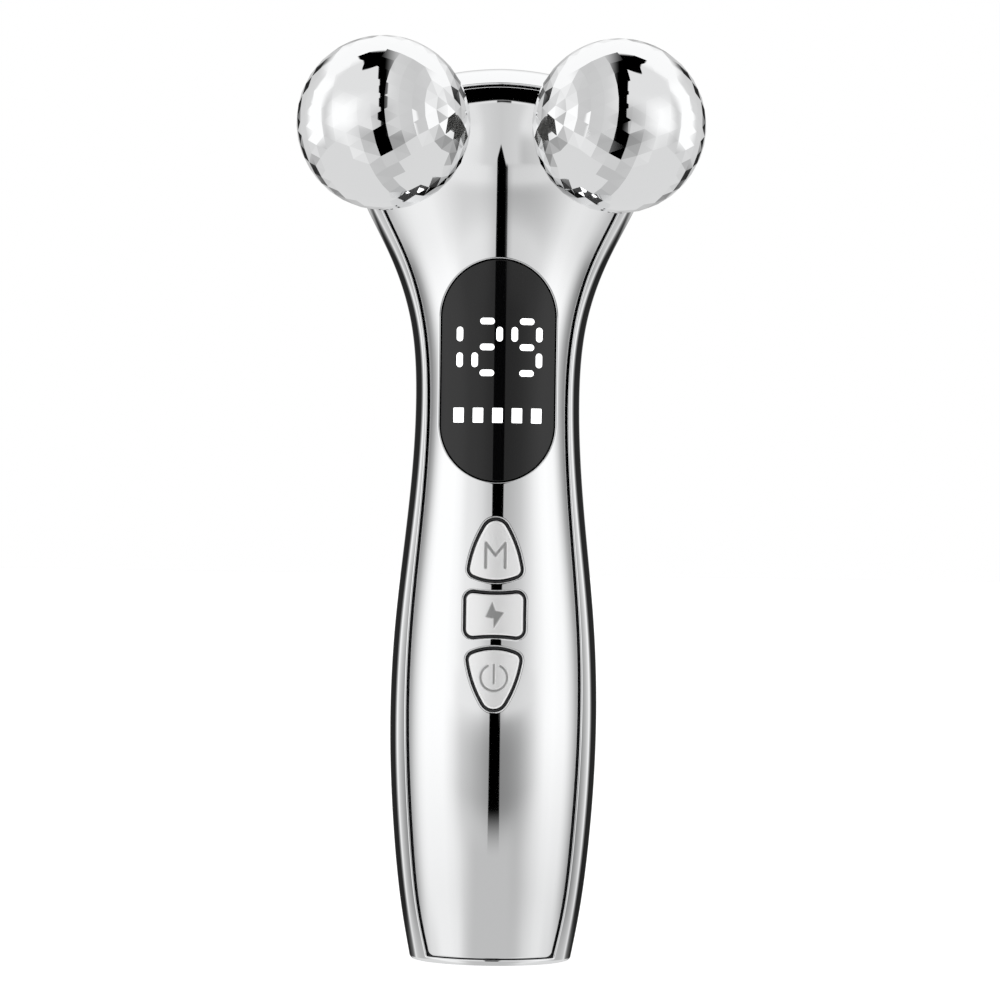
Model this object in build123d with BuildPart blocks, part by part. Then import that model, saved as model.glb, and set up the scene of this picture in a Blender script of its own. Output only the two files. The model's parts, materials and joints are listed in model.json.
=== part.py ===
from build123d import *

import os
from math import cos, pi, radians, sin

# Facial toning device: a chrome Y-shaped handle with a display, three buttons and two faceted rollers.
# Millimetres. +Z runs up the handle, the front with the display faces -Y, and the origin is the middle
# of the flat base. Names ending in _left are on the -X side.

# ---------------------------------------------------------------- driving dimensions

# Housing: height, half width, front depth and back depth of the cross-sections, base to shoulder.
BODY_STATIONS = (
    (0.0, 14.5, 10.4, 10.2),
    (8.0, 16.0, 11.5, 11.3),
    (22.0, 17.7, 12.6, 12.4),
    (42.0, 18.7, 13.3, 13.2),
    (60.0, 18.1, 13.1, 13.1),
    (80.0, 16.1, 12.3, 12.5),
    (102.0, 14.85, 11.9, 12.0),
    (116.0, 16.1, 12.2, 11.7),
    (127.0, 19.8, 13.0, 11.3),
    (137.0, 24.75, 14.4, 11.0),
    (146.0, 27.0, 15.3, 10.8),
)
SHOULDER_Z, SHOULDER_HALF, SHOULDER_FRONT, SHOULDER_BACK = BODY_STATIONS[-1]
DOME_RISE = 15.3  # from the shoulder to the top of the head
DOME_ANGLES = (16, 32, 46, 58, 68, 76, 82)  # where the dome is cut into sections, in degrees
CROWN = 8.4  # how far the round front keeps its crown to each side of the middle
SIDE_FULLNESS = 0.54  # 0.55 would be an ellipse
BASE_ROUND = 0.8

WALL = 1.8
# How far the seam between the covers runs in from the outline, at each cross-section and at the top.
SEAM_INSETS = (3.45, 3.45, 3.45, 3.4, 3.15, 2.8, 2.5, 2.5, 2.85, 3.1, 3.3)
SEAM_TOP_INSET = 4.2
SEAM_BASE_Z = 1.3
SEAM_START = 1.0  # in front of the middle
SEAM_FLARE = 0.25  # how far the seam leans out at the base, for each unit up
GROOVE = 0.38
LIP_OUT = 0.4  # the rear cover's lip takes this much of the wall
LIP_IN = 0.9
LIP_REACH = 1.75  # how far the lip passes under the front cover
FLOOR = 0.9
CAP_INSET = 3.4
CAP_FLANGE_INSET = 3.0
CAP_FLANGE = 1.2
CAP_CROWN = 7.4
PORT_WIDTH = 9.3  # the opening in the end cap round the socket
PORT_HEIGHT = 3.6
FIT = 0.1  # between fixed pieces
RUNNING = 0.03  # radial, between a shaft and its bush
CUT_START = 5.0  # in front of the middle, where cuts through the front wall start
CUT_REACH = 15.0  # from there to well past the front

# Display
WINDOW_Z = 106.2
WINDOW_WIDTH = 20.6
WINDOW_HEIGHT = 39.5
WINDOW_THICK = 1.2
WINDOW_LEDGE = 1.1
WINDOW_SINK = 0.05
SEGMENT_DEPTH = 0.35

# Buttons
BUTTON_PROUD = 0.45
BUTTON_GAP = 0.58
FLANGE_OUT = 0.8
FLANGE_FRONT_Y = -9.2
FLANGE_BACK_Y = -8.4
NUB_END_Y = -8.1
MODE_Z = 74.5
LEVEL_Z = 62.8
POWER_Z = 51.1
ARCH_HALF_WIDTH = 4.6
ARCH_HALF_HEIGHT = 5.45
ARCH_CORNER_Y = -4.3
ARCH_BULGE = (3.5, 0.4)  # a point that the side arc runs through
ARCH_PEAK = 6.5  # where the side arcs meet, before the apex is rounded
ARCH_APEX_ROUND = 2.1
ARCH_CORNER_ROUND = 1.1
LEVEL_HALF_WIDTH = 5.05
LEVEL_HALF_HEIGHT = 4.0
LEVEL_HOLLOW = 0.45
LEVEL_ROUND = 1.2
NUB_RADIUS = 1.5
STEM_RADIUS = 1.6
STEM_BACK_Y = -6.0
SWITCH_SIZE = 6.0
SWITCH_ROUND = 0.5
STEM_WELL_Y = -5.2  # bottom of the well that the stem moves in

# Rollers and axles
ROLLER_CENTRE = Vector(20.4, -27.0, 148.3)
ROLLER_RADIUS = 15.1
AXLE_DIRECTION = Vector(0.44, -0.85, 0.29).normalized()
FACET_POLE = Vector(-0.83, -0.55, 0.07).normalized()
FACET_STEP = 9.0  # degrees between rings of facet corners
ROLLER_MOUTH = -13.8  # along the axle from the roller's centre
ROLLER_BORE_RADIUS = 5.2
ROLLER_BORE_END = 7.5
AXLE_RADIUS = 2.0
AXLE_FOOT = -31.0
AXLE_TIP = 6.9
COLLAR_FACE = -14.8
COLLAR_FOOT = -20.5
COLLAR_TOP_RADIUS = 3.3
COLLAR_FOOT_RADIUS = 3.9
COLLAR_NECK = (3.4, COLLAR_FACE - 2.2)  # radius and place where the collar starts to flare
COLLAR_FLARE = (-0.2, 1.0)
AXLE_HOLE_CLEARANCE = 0.6
WASHER_RADIUS = 4.0
WASHER_THICK = 0.4

# Inside
BOARD_Y = -4.4  # front face of the main board
BOARD_THICK = 1.0
SWITCH_FRONT_Y = -7.0
FRAME_FRONT_Y = -0.8
FRAME_BACK_Y = 0.6
SOCKET_Y = 4.0
SCREW_RADIUS = 1.0
SCREW_HEAD_RADIUS = 1.9
SCREW_HEAD = 1.2
SCREW_HEAD_ROUND = 0.4
BOARD_SCREW_LENGTH = 4.0
FRAME_SCREW_LENGTH = 5.0
YOKE_SCREW_LENGTH = 10.0

os.makedirs("parts", exist_ok=True)


def save(part, name):
    """Labels one finished piece and writes it to its own file."""
    part.label = name
    export_step(part, f"parts/{name}.step")


# ---------------------------------------------------------------- the housing's form


def section_half(half_width, crown, depth):
    """One side of a cross-section, from the middle of the front or back out to both flanks."""
    flank = SIDE_FULLNESS * depth
    Bezier((-half_width, 0), (-half_width, flank), (-crown, depth), (0, depth))
    Bezier((0, depth), (crown, depth), (half_width, flank), (half_width, 0))


def section(height, half_width, front, back, crown):
    """A whole cross-section as a face at its height."""
    with BuildSketch(Plane.XY.offset(height)) as face:
        with BuildLine():
            section_half(half_width, crown, -front)
            section_half(half_width, crown, back)
        make_face()
    return face.sketch


def body_solid(inset):
    """The housing's outer form, or the same form drawn in by inset and run out past the base."""
    sections = []
    for height, half_width, front, back in BODY_STATIONS:
        below = -inset if height == 0 else 0
        crown = CROWN * (half_width - inset) / half_width
        sections.append(section(height + below, half_width - inset, front - inset, back - inset, crown))
    for angle in DOME_ANGLES:
        rise = (DOME_RISE - inset) * sin(radians(angle))
        shrink = cos(radians(angle))
        sections.append(
            section(
                SHOULDER_Z + rise,
                (SHOULDER_HALF - inset) * shrink,
                (SHOULDER_FRONT - inset) * shrink,
                (SHOULDER_BACK - inset) * shrink,
                CROWN * shrink * (SHOULDER_HALF - inset) / SHOULDER_HALF,
            )
        )
    with BuildPart() as form:
        loft(sections)
        if inset == 0:
            fillet(form.faces().sort_by(Axis.Z)[0].edges(), BASE_ROUND)
    return form.part


def front_prism(inset):
    """The area inside the seam as seen from the front, drawn in by inset and run out forwards."""
    base_z = SEAM_BASE_Z + inset
    side = [
        (half_width - seam_inset - inset, max(height, base_z))
        for seam_inset, (height, half_width, _, _) in zip(SEAM_INSETS, BODY_STATIONS)
    ]
    mirrored = [(-x, z) for x, z in side]
    top_half = SHOULDER_HALF - SEAM_INSETS[-1] - inset
    top_rise = DOME_RISE - SEAM_TOP_INSET - inset
    with BuildPart() as prism:
        with BuildSketch(Plane.XZ.offset(SEAM_START)):
            with BuildLine():
                Spline(side, tangents=[(SEAM_FLARE, 1), (0, 1)])
                EllipticalCenterArc((0, SHOULDER_Z), top_half, top_rise, arc_size=180)
                Spline(mirrored, tangents=[(-SEAM_FLARE, 1), (0, 1)])
                Line(side[0], mirrored[0])
            make_face()
        extrude(amount=2 * CUT_REACH)
    return prism.part


outer = body_solid(0)
inner = body_solid(WALL)

with BuildPart() as lip:
    add(body_solid(WALL - LIP_OUT))
    add(body_solid(WALL + LIP_IN), mode=Mode.SUBTRACT)
    add(front_prism(-LIP_REACH), mode=Mode.INTERSECT)
    add(front_prism(LIP_REACH), mode=Mode.SUBTRACT)


# ---------------------------------------------------------------- button and window outlines


def arch_outline(grow):
    """The mode button's rounded arch, apex up, grown outwards by grow."""
    with BuildSketch() as outline:
        with BuildLine():
            for side in (1, -1):
                ThreePointArc(
                    (side * ARCH_HALF_WIDTH, ARCH_CORNER_Y),
                    (side * ARCH_BULGE[0], ARCH_BULGE[1]),
                    (0, ARCH_PEAK),
                )
            ThreePointArc(
                (-ARCH_HALF_WIDTH, ARCH_CORNER_Y),
                (0, -ARCH_HALF_HEIGHT),
                (ARCH_HALF_WIDTH, ARCH_CORNER_Y),
            )
        make_face()
        fillet(outline.vertices().sort_by(Axis.Y)[-1], ARCH_APEX_ROUND)
        fillet(outline.vertices().group_by(Axis.Y)[0], ARCH_CORNER_ROUND)
        if grow:
            offset(amount=grow)
    return outline.sketch


def level_outline(grow):
    """The level button's rounded rectangle with hollow top and bottom edges."""
    corner_x, corner_y = LEVEL_HALF_WIDTH, LEVEL_HALF_HEIGHT
    with BuildSketch() as outline:
        with BuildLine():
            for sign in (1, -1):
                ThreePointArc(
                    (-corner_x, sign * corner_y),
                    (0, sign * (corner_y - LEVEL_HOLLOW)),
                    (corner_x, sign * corner_y),
                )
                Line((sign * corner_x, -corner_y), (sign * corner_x, corner_y))
        make_face()
        fillet(outline.vertices(), LEVEL_ROUND)
        if grow:
            offset(amount=grow)
    return outline.sketch


def power_outline(grow):
    """The power button's arch, apex down."""
    return mirror(arch_outline(grow), about=Plane.XZ)


BUTTONS = {
    "mode": (MODE_Z, arch_outline),
    "level": (LEVEL_Z, level_outline),
    "power": (POWER_Z, power_outline),
}


def front_plane(height, depth=0.0):
    """A sketch plane that faces forwards, at a height and a distance in front of the middle."""
    return Plane(origin=(0, -depth, height), x_dir=(1, 0, 0), z_dir=(0, -1, 0))


def window_prism(shrink):
    """The display window's slot shape, run out forwards."""
    with BuildPart() as prism:
        with BuildSketch(front_plane(WINDOW_Z, CUT_START)):
            SlotOverall(WINDOW_HEIGHT - 2 * shrink, WINDOW_WIDTH - 2 * shrink, rotation=90)
        extrude(amount=CUT_REACH)
    return prism.part


def axle_plane(side, along):
    """A plane across the axle of one side, at a distance along it from the roller's centre."""
    mirror_x = Vector(side * AXLE_DIRECTION.X, AXLE_DIRECTION.Y, AXLE_DIRECTION.Z)
    centre = Vector(side * ROLLER_CENTRE.X, ROLLER_CENTRE.Y, ROLLER_CENTRE.Z)
    return Plane(origin=centre + mirror_x * along, z_dir=mirror_x)


# ---------------------------------------------------------------- covers

window_seat = window_prism(-FIT) - body_solid(WINDOW_SINK + WINDOW_THICK)

with BuildPart() as front_cover:
    add(outer)
    add(inner, mode=Mode.SUBTRACT)
    add(front_prism(0), mode=Mode.INTERSECT)
    add(lip.part, mode=Mode.SUBTRACT)
    # opening and seat of the display window
    add(window_prism(WINDOW_LEDGE), mode=Mode.SUBTRACT)
    add(window_seat, mode=Mode.SUBTRACT)
    for button_z, outline in BUTTONS.values():
        with BuildSketch(front_plane(button_z, CUT_START)):
            add(outline(BUTTON_GAP))
        extrude(amount=CUT_REACH, mode=Mode.SUBTRACT)
    for side in (1, -1):
        with BuildSketch(axle_plane(side, ROLLER_MOUTH)):
            Circle(AXLE_RADIUS + AXLE_HOLE_CLEARANCE)
        extrude(amount=-CUT_REACH, mode=Mode.SUBTRACT)
save(front_cover.part, "front_cover")

REAR_POSTS = ((-8.0, 24.0), (8.0, 24.0), (0.0, 99.0))
YOKE_POSTS = ((-10.0, 134.5), (10.0, 134.5))
YOKE_BACK_Y = 1.0
REAR_POST_RADIUS = 2.4
YOKE_POST_RADIUS = 2.6
POST_REACH = 14.0
PILOT_DEPTH = 6.0

# the floor ring round the end cap
with BuildPart() as floor:
    add(outer)
    split(bisect_by=Plane.XY.offset(FLOOR), keep=Keep.BOTTOM)

# posts for the inner frame and for the roller yoke, with pilot holes for their screws
with BuildPart() as posts:
    with BuildSketch(Plane.XZ.offset(-FRAME_BACK_Y)):
        with Locations(*REAR_POSTS):
            Circle(REAR_POST_RADIUS)
    extrude(amount=-POST_REACH)
    with BuildSketch(Plane.XZ.offset(-YOKE_BACK_Y)):
        with Locations(*YOKE_POSTS):
            Circle(YOKE_POST_RADIUS)
    extrude(amount=-POST_REACH)
    with BuildSketch(Plane.XZ.offset(-FRAME_BACK_Y)):
        with Locations(*REAR_POSTS, *YOKE_POSTS):
            Circle(SCREW_RADIUS)
    extrude(amount=-PILOT_DEPTH, mode=Mode.SUBTRACT)
    add(body_solid(WALL / 2), mode=Mode.INTERSECT)

with BuildPart() as cap_pocket:
    add(section(-FLOOR, *(size - CAP_INSET for size in BODY_STATIONS[0][1:]), CAP_CROWN))
    extrude(amount=3 * FLOOR)

with BuildPart() as rear_cover:
    add(outer)
    add(inner, mode=Mode.SUBTRACT)
    add(front_prism(-GROOVE), mode=Mode.SUBTRACT)
    add(lip.part)
    add(floor.part)
    add(posts.part)
    add(cap_pocket.part, mode=Mode.SUBTRACT)
save(rear_cover.part, "rear_cover")

with BuildPart() as end_cap:
    add(section(0, *(size - CAP_INSET - FIT for size in BODY_STATIONS[0][1:]), CAP_CROWN))
    extrude(amount=FLOOR)
    add(section(FLOOR, *(size - CAP_FLANGE_INSET for size in BODY_STATIONS[0][1:]), CAP_CROWN))
    extrude(amount=CAP_FLANGE)
    with BuildSketch(Plane.XY):
        with Locations((0, SOCKET_Y)):
            SlotOverall(PORT_WIDTH, PORT_HEIGHT)
    extrude(amount=FLOOR + CAP_FLANGE, mode=Mode.SUBTRACT)
save(end_cap.part, "end_cap")

# ---------------------------------------------------------------- display

SEGMENT_LONG = 2.6
SEGMENT_SHORT = 1.15
DIGIT_PITCH = 7.1
DIGITS_SHIFT = -2.0  # the one is all in its right column, so the numerals sit to the left
DIGIT_HALF_WIDTH = 2.2
DIGIT_ROW = 4.6  # between the segment rows of a digit
DIGITS_Z = 110.4
BARS_Z = 98.25
BAR_COUNT = 5
BAR_PITCH = 3.48
BAR_WIDTH = 1.86
BAR_HEIGHT = 2.65

# Which segments are lit: top, upper left, upper right, middle, lower left, lower right, bottom.
NUMERALS = {1: "0010010", 2: "1011101", 9: "1111011"}
SEGMENT_SPOTS = (
    (0, 2, 0),
    (-1, 1, 90),
    (1, 1, 90),
    (0, 0, 0),
    (-1, -1, 90),
    (1, -1, 90),
    (0, -2, 0),
)


def segment_sketch():
    """The lit numerals and the row of level bars, seen from the front."""
    with BuildSketch(front_plane(0, CUT_START)) as lit:
        for place, numeral in enumerate((1, 2, 9)):
            centre_x = (place - 1) * DIGIT_PITCH + DIGITS_SHIFT
            for on, (column, row, turn) in zip(NUMERALS[numeral], SEGMENT_SPOTS):
                if on == "1":
                    spot = (centre_x + column * DIGIT_HALF_WIDTH, DIGITS_Z + row * DIGIT_ROW / 2)
                    with Locations(spot):
                        SlotOverall(SEGMENT_LONG, SEGMENT_SHORT, rotation=turn)
        with Locations((0, BARS_Z)):
            with GridLocations(BAR_PITCH, BAR_PITCH, BAR_COUNT, 1):
                Rectangle(BAR_WIDTH, BAR_HEIGHT)
    return lit.sketch


window_face = body_solid(WINDOW_SINK)
with BuildPart() as display_segments:
    extrude(segment_sketch(), amount=CUT_REACH)
    add(window_face, mode=Mode.INTERSECT)
    add(body_solid(WINDOW_SINK + SEGMENT_DEPTH), mode=Mode.SUBTRACT)
save(display_segments.part, "display_segments")

with BuildPart() as display_window:
    add(window_face)
    add(body_solid(WINDOW_SINK + WINDOW_THICK), mode=Mode.SUBTRACT)
    add(window_prism(0), mode=Mode.INTERSECT)
    add(display_segments.part, mode=Mode.SUBTRACT)
save(display_window.part, "display_window")

DISPLAY_BOARD_Y = -6.4
REFLECTOR_CLEARANCE = 0.15  # behind the window
GASKET_WIDTH = 0.6
DISPLAY_BOARD_WIDTH = 16.6
DISPLAY_BOARD_HEIGHT = 36.0
BOARD_ROUND = 1.5

with BuildPart() as display_reflector:
    add(window_prism(WINDOW_LEDGE + 2 * FIT + GASKET_WIDTH))
    with BuildSketch(front_plane(WINDOW_Z, -DISPLAY_BOARD_Y)):
        Rectangle(2 * WINDOW_WIDTH, 2 * WINDOW_HEIGHT)
    extrude(amount=DISPLAY_BOARD_Y + CUT_START, mode=Mode.SUBTRACT)
    add(body_solid(WINDOW_SINK + WINDOW_THICK + REFLECTOR_CLEARANCE), mode=Mode.INTERSECT)
    add(extrude(segment_sketch(), amount=CUT_REACH), mode=Mode.SUBTRACT)
save(display_reflector.part, "display_reflector")

with BuildPart() as display_gasket:
    add(window_prism(WINDOW_LEDGE + FIT))
    add(window_prism(WINDOW_LEDGE + FIT + GASKET_WIDTH), mode=Mode.SUBTRACT)
    add(body_solid(WINDOW_SINK + WINDOW_THICK), mode=Mode.INTERSECT)
    add(body_solid(WALL + LIP_IN), mode=Mode.SUBTRACT)
save(display_gasket.part, "display_gasket")

with BuildPart() as display_board:
    with BuildSketch(front_plane(WINDOW_Z, -DISPLAY_BOARD_Y - BOARD_THICK)):
        RectangleRounded(DISPLAY_BOARD_WIDTH, DISPLAY_BOARD_HEIGHT, BOARD_ROUND)
    extrude(amount=BOARD_THICK)
save(display_board.part, "display_board")

# ---------------------------------------------------------------- buttons, switches and main board

button_face = body_solid(-BUTTON_PROUD)
for name, (button_z, outline) in BUTTONS.items():
    with BuildPart() as button:
        with BuildSketch(front_plane(button_z, -FLANGE_FRONT_Y)):
            add(outline(0))
        extrude(amount=CUT_REACH)
        add(button_face, mode=Mode.INTERSECT)
        with BuildSketch(front_plane(button_z, -FLANGE_BACK_Y)):
            add(outline(FLANGE_OUT))
        extrude(amount=FLANGE_BACK_Y - FLANGE_FRONT_Y)
        with BuildSketch(front_plane(button_z, -NUB_END_Y)):
            Circle(NUB_RADIUS)
        extrude(amount=NUB_END_Y - FLANGE_BACK_Y)
    save(button.part, f"button_{name}")

    with BuildPart() as stem:
        with BuildSketch(front_plane(button_z, -STEM_BACK_Y)):
            Circle(STEM_RADIUS)
        extrude(amount=STEM_BACK_Y - NUB_END_Y)
    save(stem.part, f"switch_stem_{name}")

with BuildPart() as tact_switches:
    for button_z, _ in BUTTONS.values():
        with BuildSketch(front_plane(button_z, -BOARD_Y)):
            RectangleRounded(SWITCH_SIZE, SWITCH_SIZE, SWITCH_ROUND)
        extrude(amount=BOARD_Y - SWITCH_FRONT_Y)
        with BuildSketch(front_plane(button_z, -STEM_WELL_Y)):
            Circle(STEM_RADIUS + FIT / 2)
        extrude(amount=CUT_REACH, mode=Mode.SUBTRACT)
save(tact_switches.part, "tact_switches")

BOARD_BASE_Z, BOARD_TOP_Z = 16.0, 86.0
BOARD_HALF_WIDTH = 8.6
BOARD_SCREWS = ((-6.4, 20.0), (6.4, 20.0), (-6.4, 84.0), (6.4, 84.0))

with BuildPart() as main_board:
    with BuildSketch(front_plane((BOARD_BASE_Z + BOARD_TOP_Z) / 2, -BOARD_Y - BOARD_THICK)):
        RectangleRounded(2 * BOARD_HALF_WIDTH, BOARD_TOP_Z - BOARD_BASE_Z, BOARD_ROUND)
    extrude(amount=BOARD_THICK)
    with BuildSketch(front_plane(0, -BOARD_Y - BOARD_THICK)):
        with Locations(*BOARD_SCREWS):
            Circle(SCREW_RADIUS + FIT)
    extrude(amount=BOARD_THICK, mode=Mode.SUBTRACT)
save(main_board.part, "main_board")


def screws(spots, head_y, length):
    """Pan-head screws driven in from the front, as separate solids."""
    with BuildPart() as group:
        with BuildSketch(front_plane(0, -head_y)):
            with Locations(*spots):
                Circle(SCREW_HEAD_RADIUS)
        extrude(amount=SCREW_HEAD)
        fillet(group.faces().group_by(Axis.Y)[0].edges(), SCREW_HEAD_ROUND)
        with BuildSketch(front_plane(0, -head_y)):
            with Locations(*spots):
                Circle(SCREW_RADIUS)
        extrude(amount=-length)
    return group.part


save(screws(BOARD_SCREWS, BOARD_Y, BOARD_SCREW_LENGTH), "board_screws")

# ---------------------------------------------------------------- inner frame, battery, motor, charging

MOTOR_Y = 1.0
MOTOR_RADIUS = 4.0
MOTOR_BASE_Z, MOTOR_TOP_Z = 104.0, 120.0
SHAFT_RADIUS = 0.75
WEIGHT_BASE_Z, WEIGHT_TOP_Z = 120.6, 125.4
BATTERY_BASE_Z, BATTERY_TOP_Z = 50.0, 94.0
BATTERY_WIDTH = 15.8
BATTERY_THICK = 5.8
BATTERY_ROUND = 1.2
BAY_ROOM = 0.2  # round the battery
BAY_WALL = 1.2
BAY_DEPTH = 3.0
FRAME_BASE_Z, FRAME_TOP_Z = 16.0, 127.0
FRAME_WIDTH = 21.0
FRAME_ROUND = 3.0
STANDOFF_RADIUS = 2.1
MOTOR_SLOT_ROOM = 0.5
RING_WALL = 1.4
RING_HEIGHT = 3.0
RING_HEIGHTS = (106.0, 115.0)
MOTOR_ROUND = 0.5
SHAFT_PROUD = 0.4
WEIGHT_HUB_RADIUS = 2.0

with BuildPart() as inner_frame:
    with BuildSketch(front_plane((FRAME_BASE_Z + FRAME_TOP_Z) / 2, -FRAME_BACK_Y)):
        RectangleRounded(FRAME_WIDTH, FRAME_TOP_Z - FRAME_BASE_Z, FRAME_ROUND)
    extrude(amount=FRAME_BACK_Y - FRAME_FRONT_Y)
    # standoffs that carry the main board
    with BuildSketch(front_plane(0, -FRAME_FRONT_Y)):
        with Locations(*BOARD_SCREWS):
            Circle(STANDOFF_RADIUS)
    extrude(amount=FRAME_FRONT_Y - BOARD_Y - BOARD_THICK)
    with BuildSketch(front_plane(0, -FRAME_BACK_Y)):
        with Locations(*BOARD_SCREWS):
            Circle(SCREW_RADIUS)
    extrude(amount=CUT_START, mode=Mode.SUBTRACT)
    # walls of the battery bay
    with BuildSketch(front_plane((BATTERY_BASE_Z + BATTERY_TOP_Z) / 2, -FRAME_BACK_Y)):
        bay_width = BATTERY_WIDTH + 2 * BAY_ROOM
        bay_height = BATTERY_TOP_Z - BATTERY_BASE_Z + 2 * BAY_ROOM
        RectangleRounded(bay_width + 2 * BAY_WALL, bay_height + 2 * BAY_WALL, BATTERY_ROUND + BAY_WALL)
        RectangleRounded(bay_width, bay_height, BATTERY_ROUND, mode=Mode.SUBTRACT)
    extrude(amount=-BAY_DEPTH)
    # slot and two cradle rings for the vibration motor
    with BuildSketch(front_plane((MOTOR_BASE_Z + WEIGHT_TOP_Z) / 2, -FRAME_BACK_Y)):
        Rectangle(2 * (MOTOR_RADIUS + MOTOR_SLOT_ROOM), WEIGHT_TOP_Z - MOTOR_BASE_Z + 2 * MOTOR_SLOT_ROOM)
    extrude(amount=FRAME_BACK_Y - FRAME_FRONT_Y, mode=Mode.SUBTRACT)
    for ring_z in RING_HEIGHTS:
        with BuildSketch(Plane.XY.offset(ring_z)):
            with Locations((0, MOTOR_Y)):
                Circle(MOTOR_RADIUS + RING_WALL)
                Circle(MOTOR_RADIUS + FIT / 2, mode=Mode.SUBTRACT)
        extrude(amount=RING_HEIGHT)
    with BuildSketch(front_plane(0, -FRAME_BACK_Y)):
        with Locations(*REAR_POSTS):
            Circle(SCREW_RADIUS + FIT)
    extrude(amount=CUT_START, mode=Mode.SUBTRACT)
save(inner_frame.part, "inner_frame")

save(screws(REAR_POSTS, FRAME_FRONT_Y, FRAME_SCREW_LENGTH), "frame_screws")

with BuildPart() as battery:
    with BuildSketch(front_plane((BATTERY_BASE_Z + BATTERY_TOP_Z) / 2, -FRAME_BACK_Y - FIT)):
        Rectangle(BATTERY_WIDTH, BATTERY_TOP_Z - BATTERY_BASE_Z)
    extrude(amount=-BATTERY_THICK)
    fillet(battery.edges().filter_by(Axis.Z), BATTERY_ROUND)
save(battery.part, "battery")

with BuildPart() as vibration_motor:
    with BuildSketch(Plane.XY.offset(MOTOR_BASE_Z)):
        with Locations((0, MOTOR_Y)):
            Circle(MOTOR_RADIUS)
    extrude(amount=MOTOR_TOP_Z - MOTOR_BASE_Z)
    fillet(vibration_motor.edges().filter_by(GeomType.CIRCLE), MOTOR_ROUND)
    with BuildSketch(Plane.XY.offset(MOTOR_TOP_Z)):
        with Locations((0, MOTOR_Y)):
            Circle(SHAFT_RADIUS)
    extrude(amount=WEIGHT_TOP_Z - MOTOR_TOP_Z + SHAFT_PROUD)
save(vibration_motor.part, "vibration_motor")

with BuildPart() as motor_weight:
    with BuildSketch(Plane.XY.offset(WEIGHT_BASE_Z)):
        with Locations((0, MOTOR_Y)):
            Circle(MOTOR_RADIUS)
            with Locations((0, -MOTOR_RADIUS)):
                Rectangle(2 * MOTOR_RADIUS, 2 * MOTOR_RADIUS, mode=Mode.SUBTRACT)
            Circle(WEIGHT_HUB_RADIUS)
            Circle(SHAFT_RADIUS + RUNNING, mode=Mode.SUBTRACT)
    extrude(amount=WEIGHT_TOP_Z - WEIGHT_BASE_Z)
save(motor_weight.part, "motor_weight")

# Standard Type-C socket: a plated shell round a flat tongue.
SOCKET_DEPTH = 7.4
SOCKET_MOUTH_Z = 0.3
SOCKET_WIDTH, SOCKET_HEIGHT = 8.94, 3.2
SOCKET_WALL = 0.3
SOCKET_BACK = 0.9
TONGUE_WIDTH, TONGUE_THICK = 6.7, 0.7
TONGUE_START = 1.6
CHARGE_BOARD_WIDTH = 14.0
CHARGE_BOARD_HEIGHT = 11.0
CHARGE_BOARD_LIFT = 0.2  # above the end cap's flange

with BuildPart() as usb_socket:
    with BuildSketch(Plane.XY.offset(SOCKET_MOUTH_Z)):
        with Locations((0, SOCKET_Y)):
            SlotOverall(SOCKET_WIDTH, SOCKET_HEIGHT)
    extrude(amount=SOCKET_DEPTH)
    with BuildSketch(Plane.XY.offset(SOCKET_MOUTH_Z)):
        with Locations((0, SOCKET_Y)):
            SlotOverall(SOCKET_WIDTH - 2 * SOCKET_WALL, SOCKET_HEIGHT - 2 * SOCKET_WALL)
    extrude(amount=SOCKET_DEPTH - SOCKET_BACK, mode=Mode.SUBTRACT)
    with BuildSketch(Plane.XY.offset(TONGUE_START)):
        with Locations((0, SOCKET_Y)):
            Rectangle(TONGUE_WIDTH, TONGUE_THICK)
    extrude(amount=SOCKET_DEPTH - TONGUE_START)
save(usb_socket.part, "usb_socket")

with BuildPart() as charge_board:
    with BuildSketch(Plane.XY.offset(FLOOR + CAP_FLANGE + CHARGE_BOARD_LIFT)):
        with Locations((0, SOCKET_Y + (SOCKET_HEIGHT + BOARD_THICK + FIT) / 2)):
            Rectangle(CHARGE_BOARD_WIDTH, BOARD_THICK)
    extrude(amount=CHARGE_BOARD_HEIGHT)
save(charge_board.part, "charge_board")

# ---------------------------------------------------------------- rollers, axles and yoke


def facet_corners():
    """Corners of the roller's facets: staggered rings round the facet pole."""
    pole_frame = Plane(origin=ROLLER_CENTRE, z_dir=FACET_POLE)
    corners = [ROLLER_CENTRE + FACET_POLE * ROLLER_RADIUS, ROLLER_CENTRE - FACET_POLE * ROLLER_RADIUS]
    rings = round(180 / FACET_STEP)
    for ring in range(1, rings):
        polar = radians(ring * FACET_STEP)
        count = max(6, round(360 / FACET_STEP * sin(polar)))
        for place in range(count):
            turn = 2 * pi * (place + 0.5 * (ring % 2)) / count
            spot = Vector(sin(polar) * cos(turn), sin(polar) * sin(turn), cos(polar)) * ROLLER_RADIUS
            corners.append(pole_frame.from_local_coords(spot))
    return corners


AXLE_LINE = Axis(ROLLER_CENTRE, AXLE_DIRECTION)
AXLE_SIDE = AXLE_DIRECTION.cross(Vector(0, 0, 1)).normalized()
# x runs out from the axle's line and y along it, from the roller's centre
TURNING_PLANE = Plane(origin=ROLLER_CENTRE, x_dir=AXLE_SIDE, z_dir=AXLE_SIDE.cross(AXLE_DIRECTION))


def turned(profile):
    """A piece turned about the axle, from its half profile of (radius, distance along the axle)."""
    with BuildPart() as piece:
        with BuildSketch(TURNING_PLANE):
            with BuildLine():
                Polyline(*profile, close=True)
            make_face()
        revolve(axis=AXLE_LINE)
    return piece.part


def ring_profile(inner_radius, outer_radius, start, end):
    """The half profile of a plain ring."""
    return (
        (inner_radius, start),
        (outer_radius, start),
        (outer_radius, end),
        (inner_radius, end),
    )


def save_pair(part, name):
    """Writes the right-hand piece and its mirror image on the left."""
    left = mirror(part, about=Plane.YZ)
    save(part, f"{name}_right")
    save(left, f"{name}_left")


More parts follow.
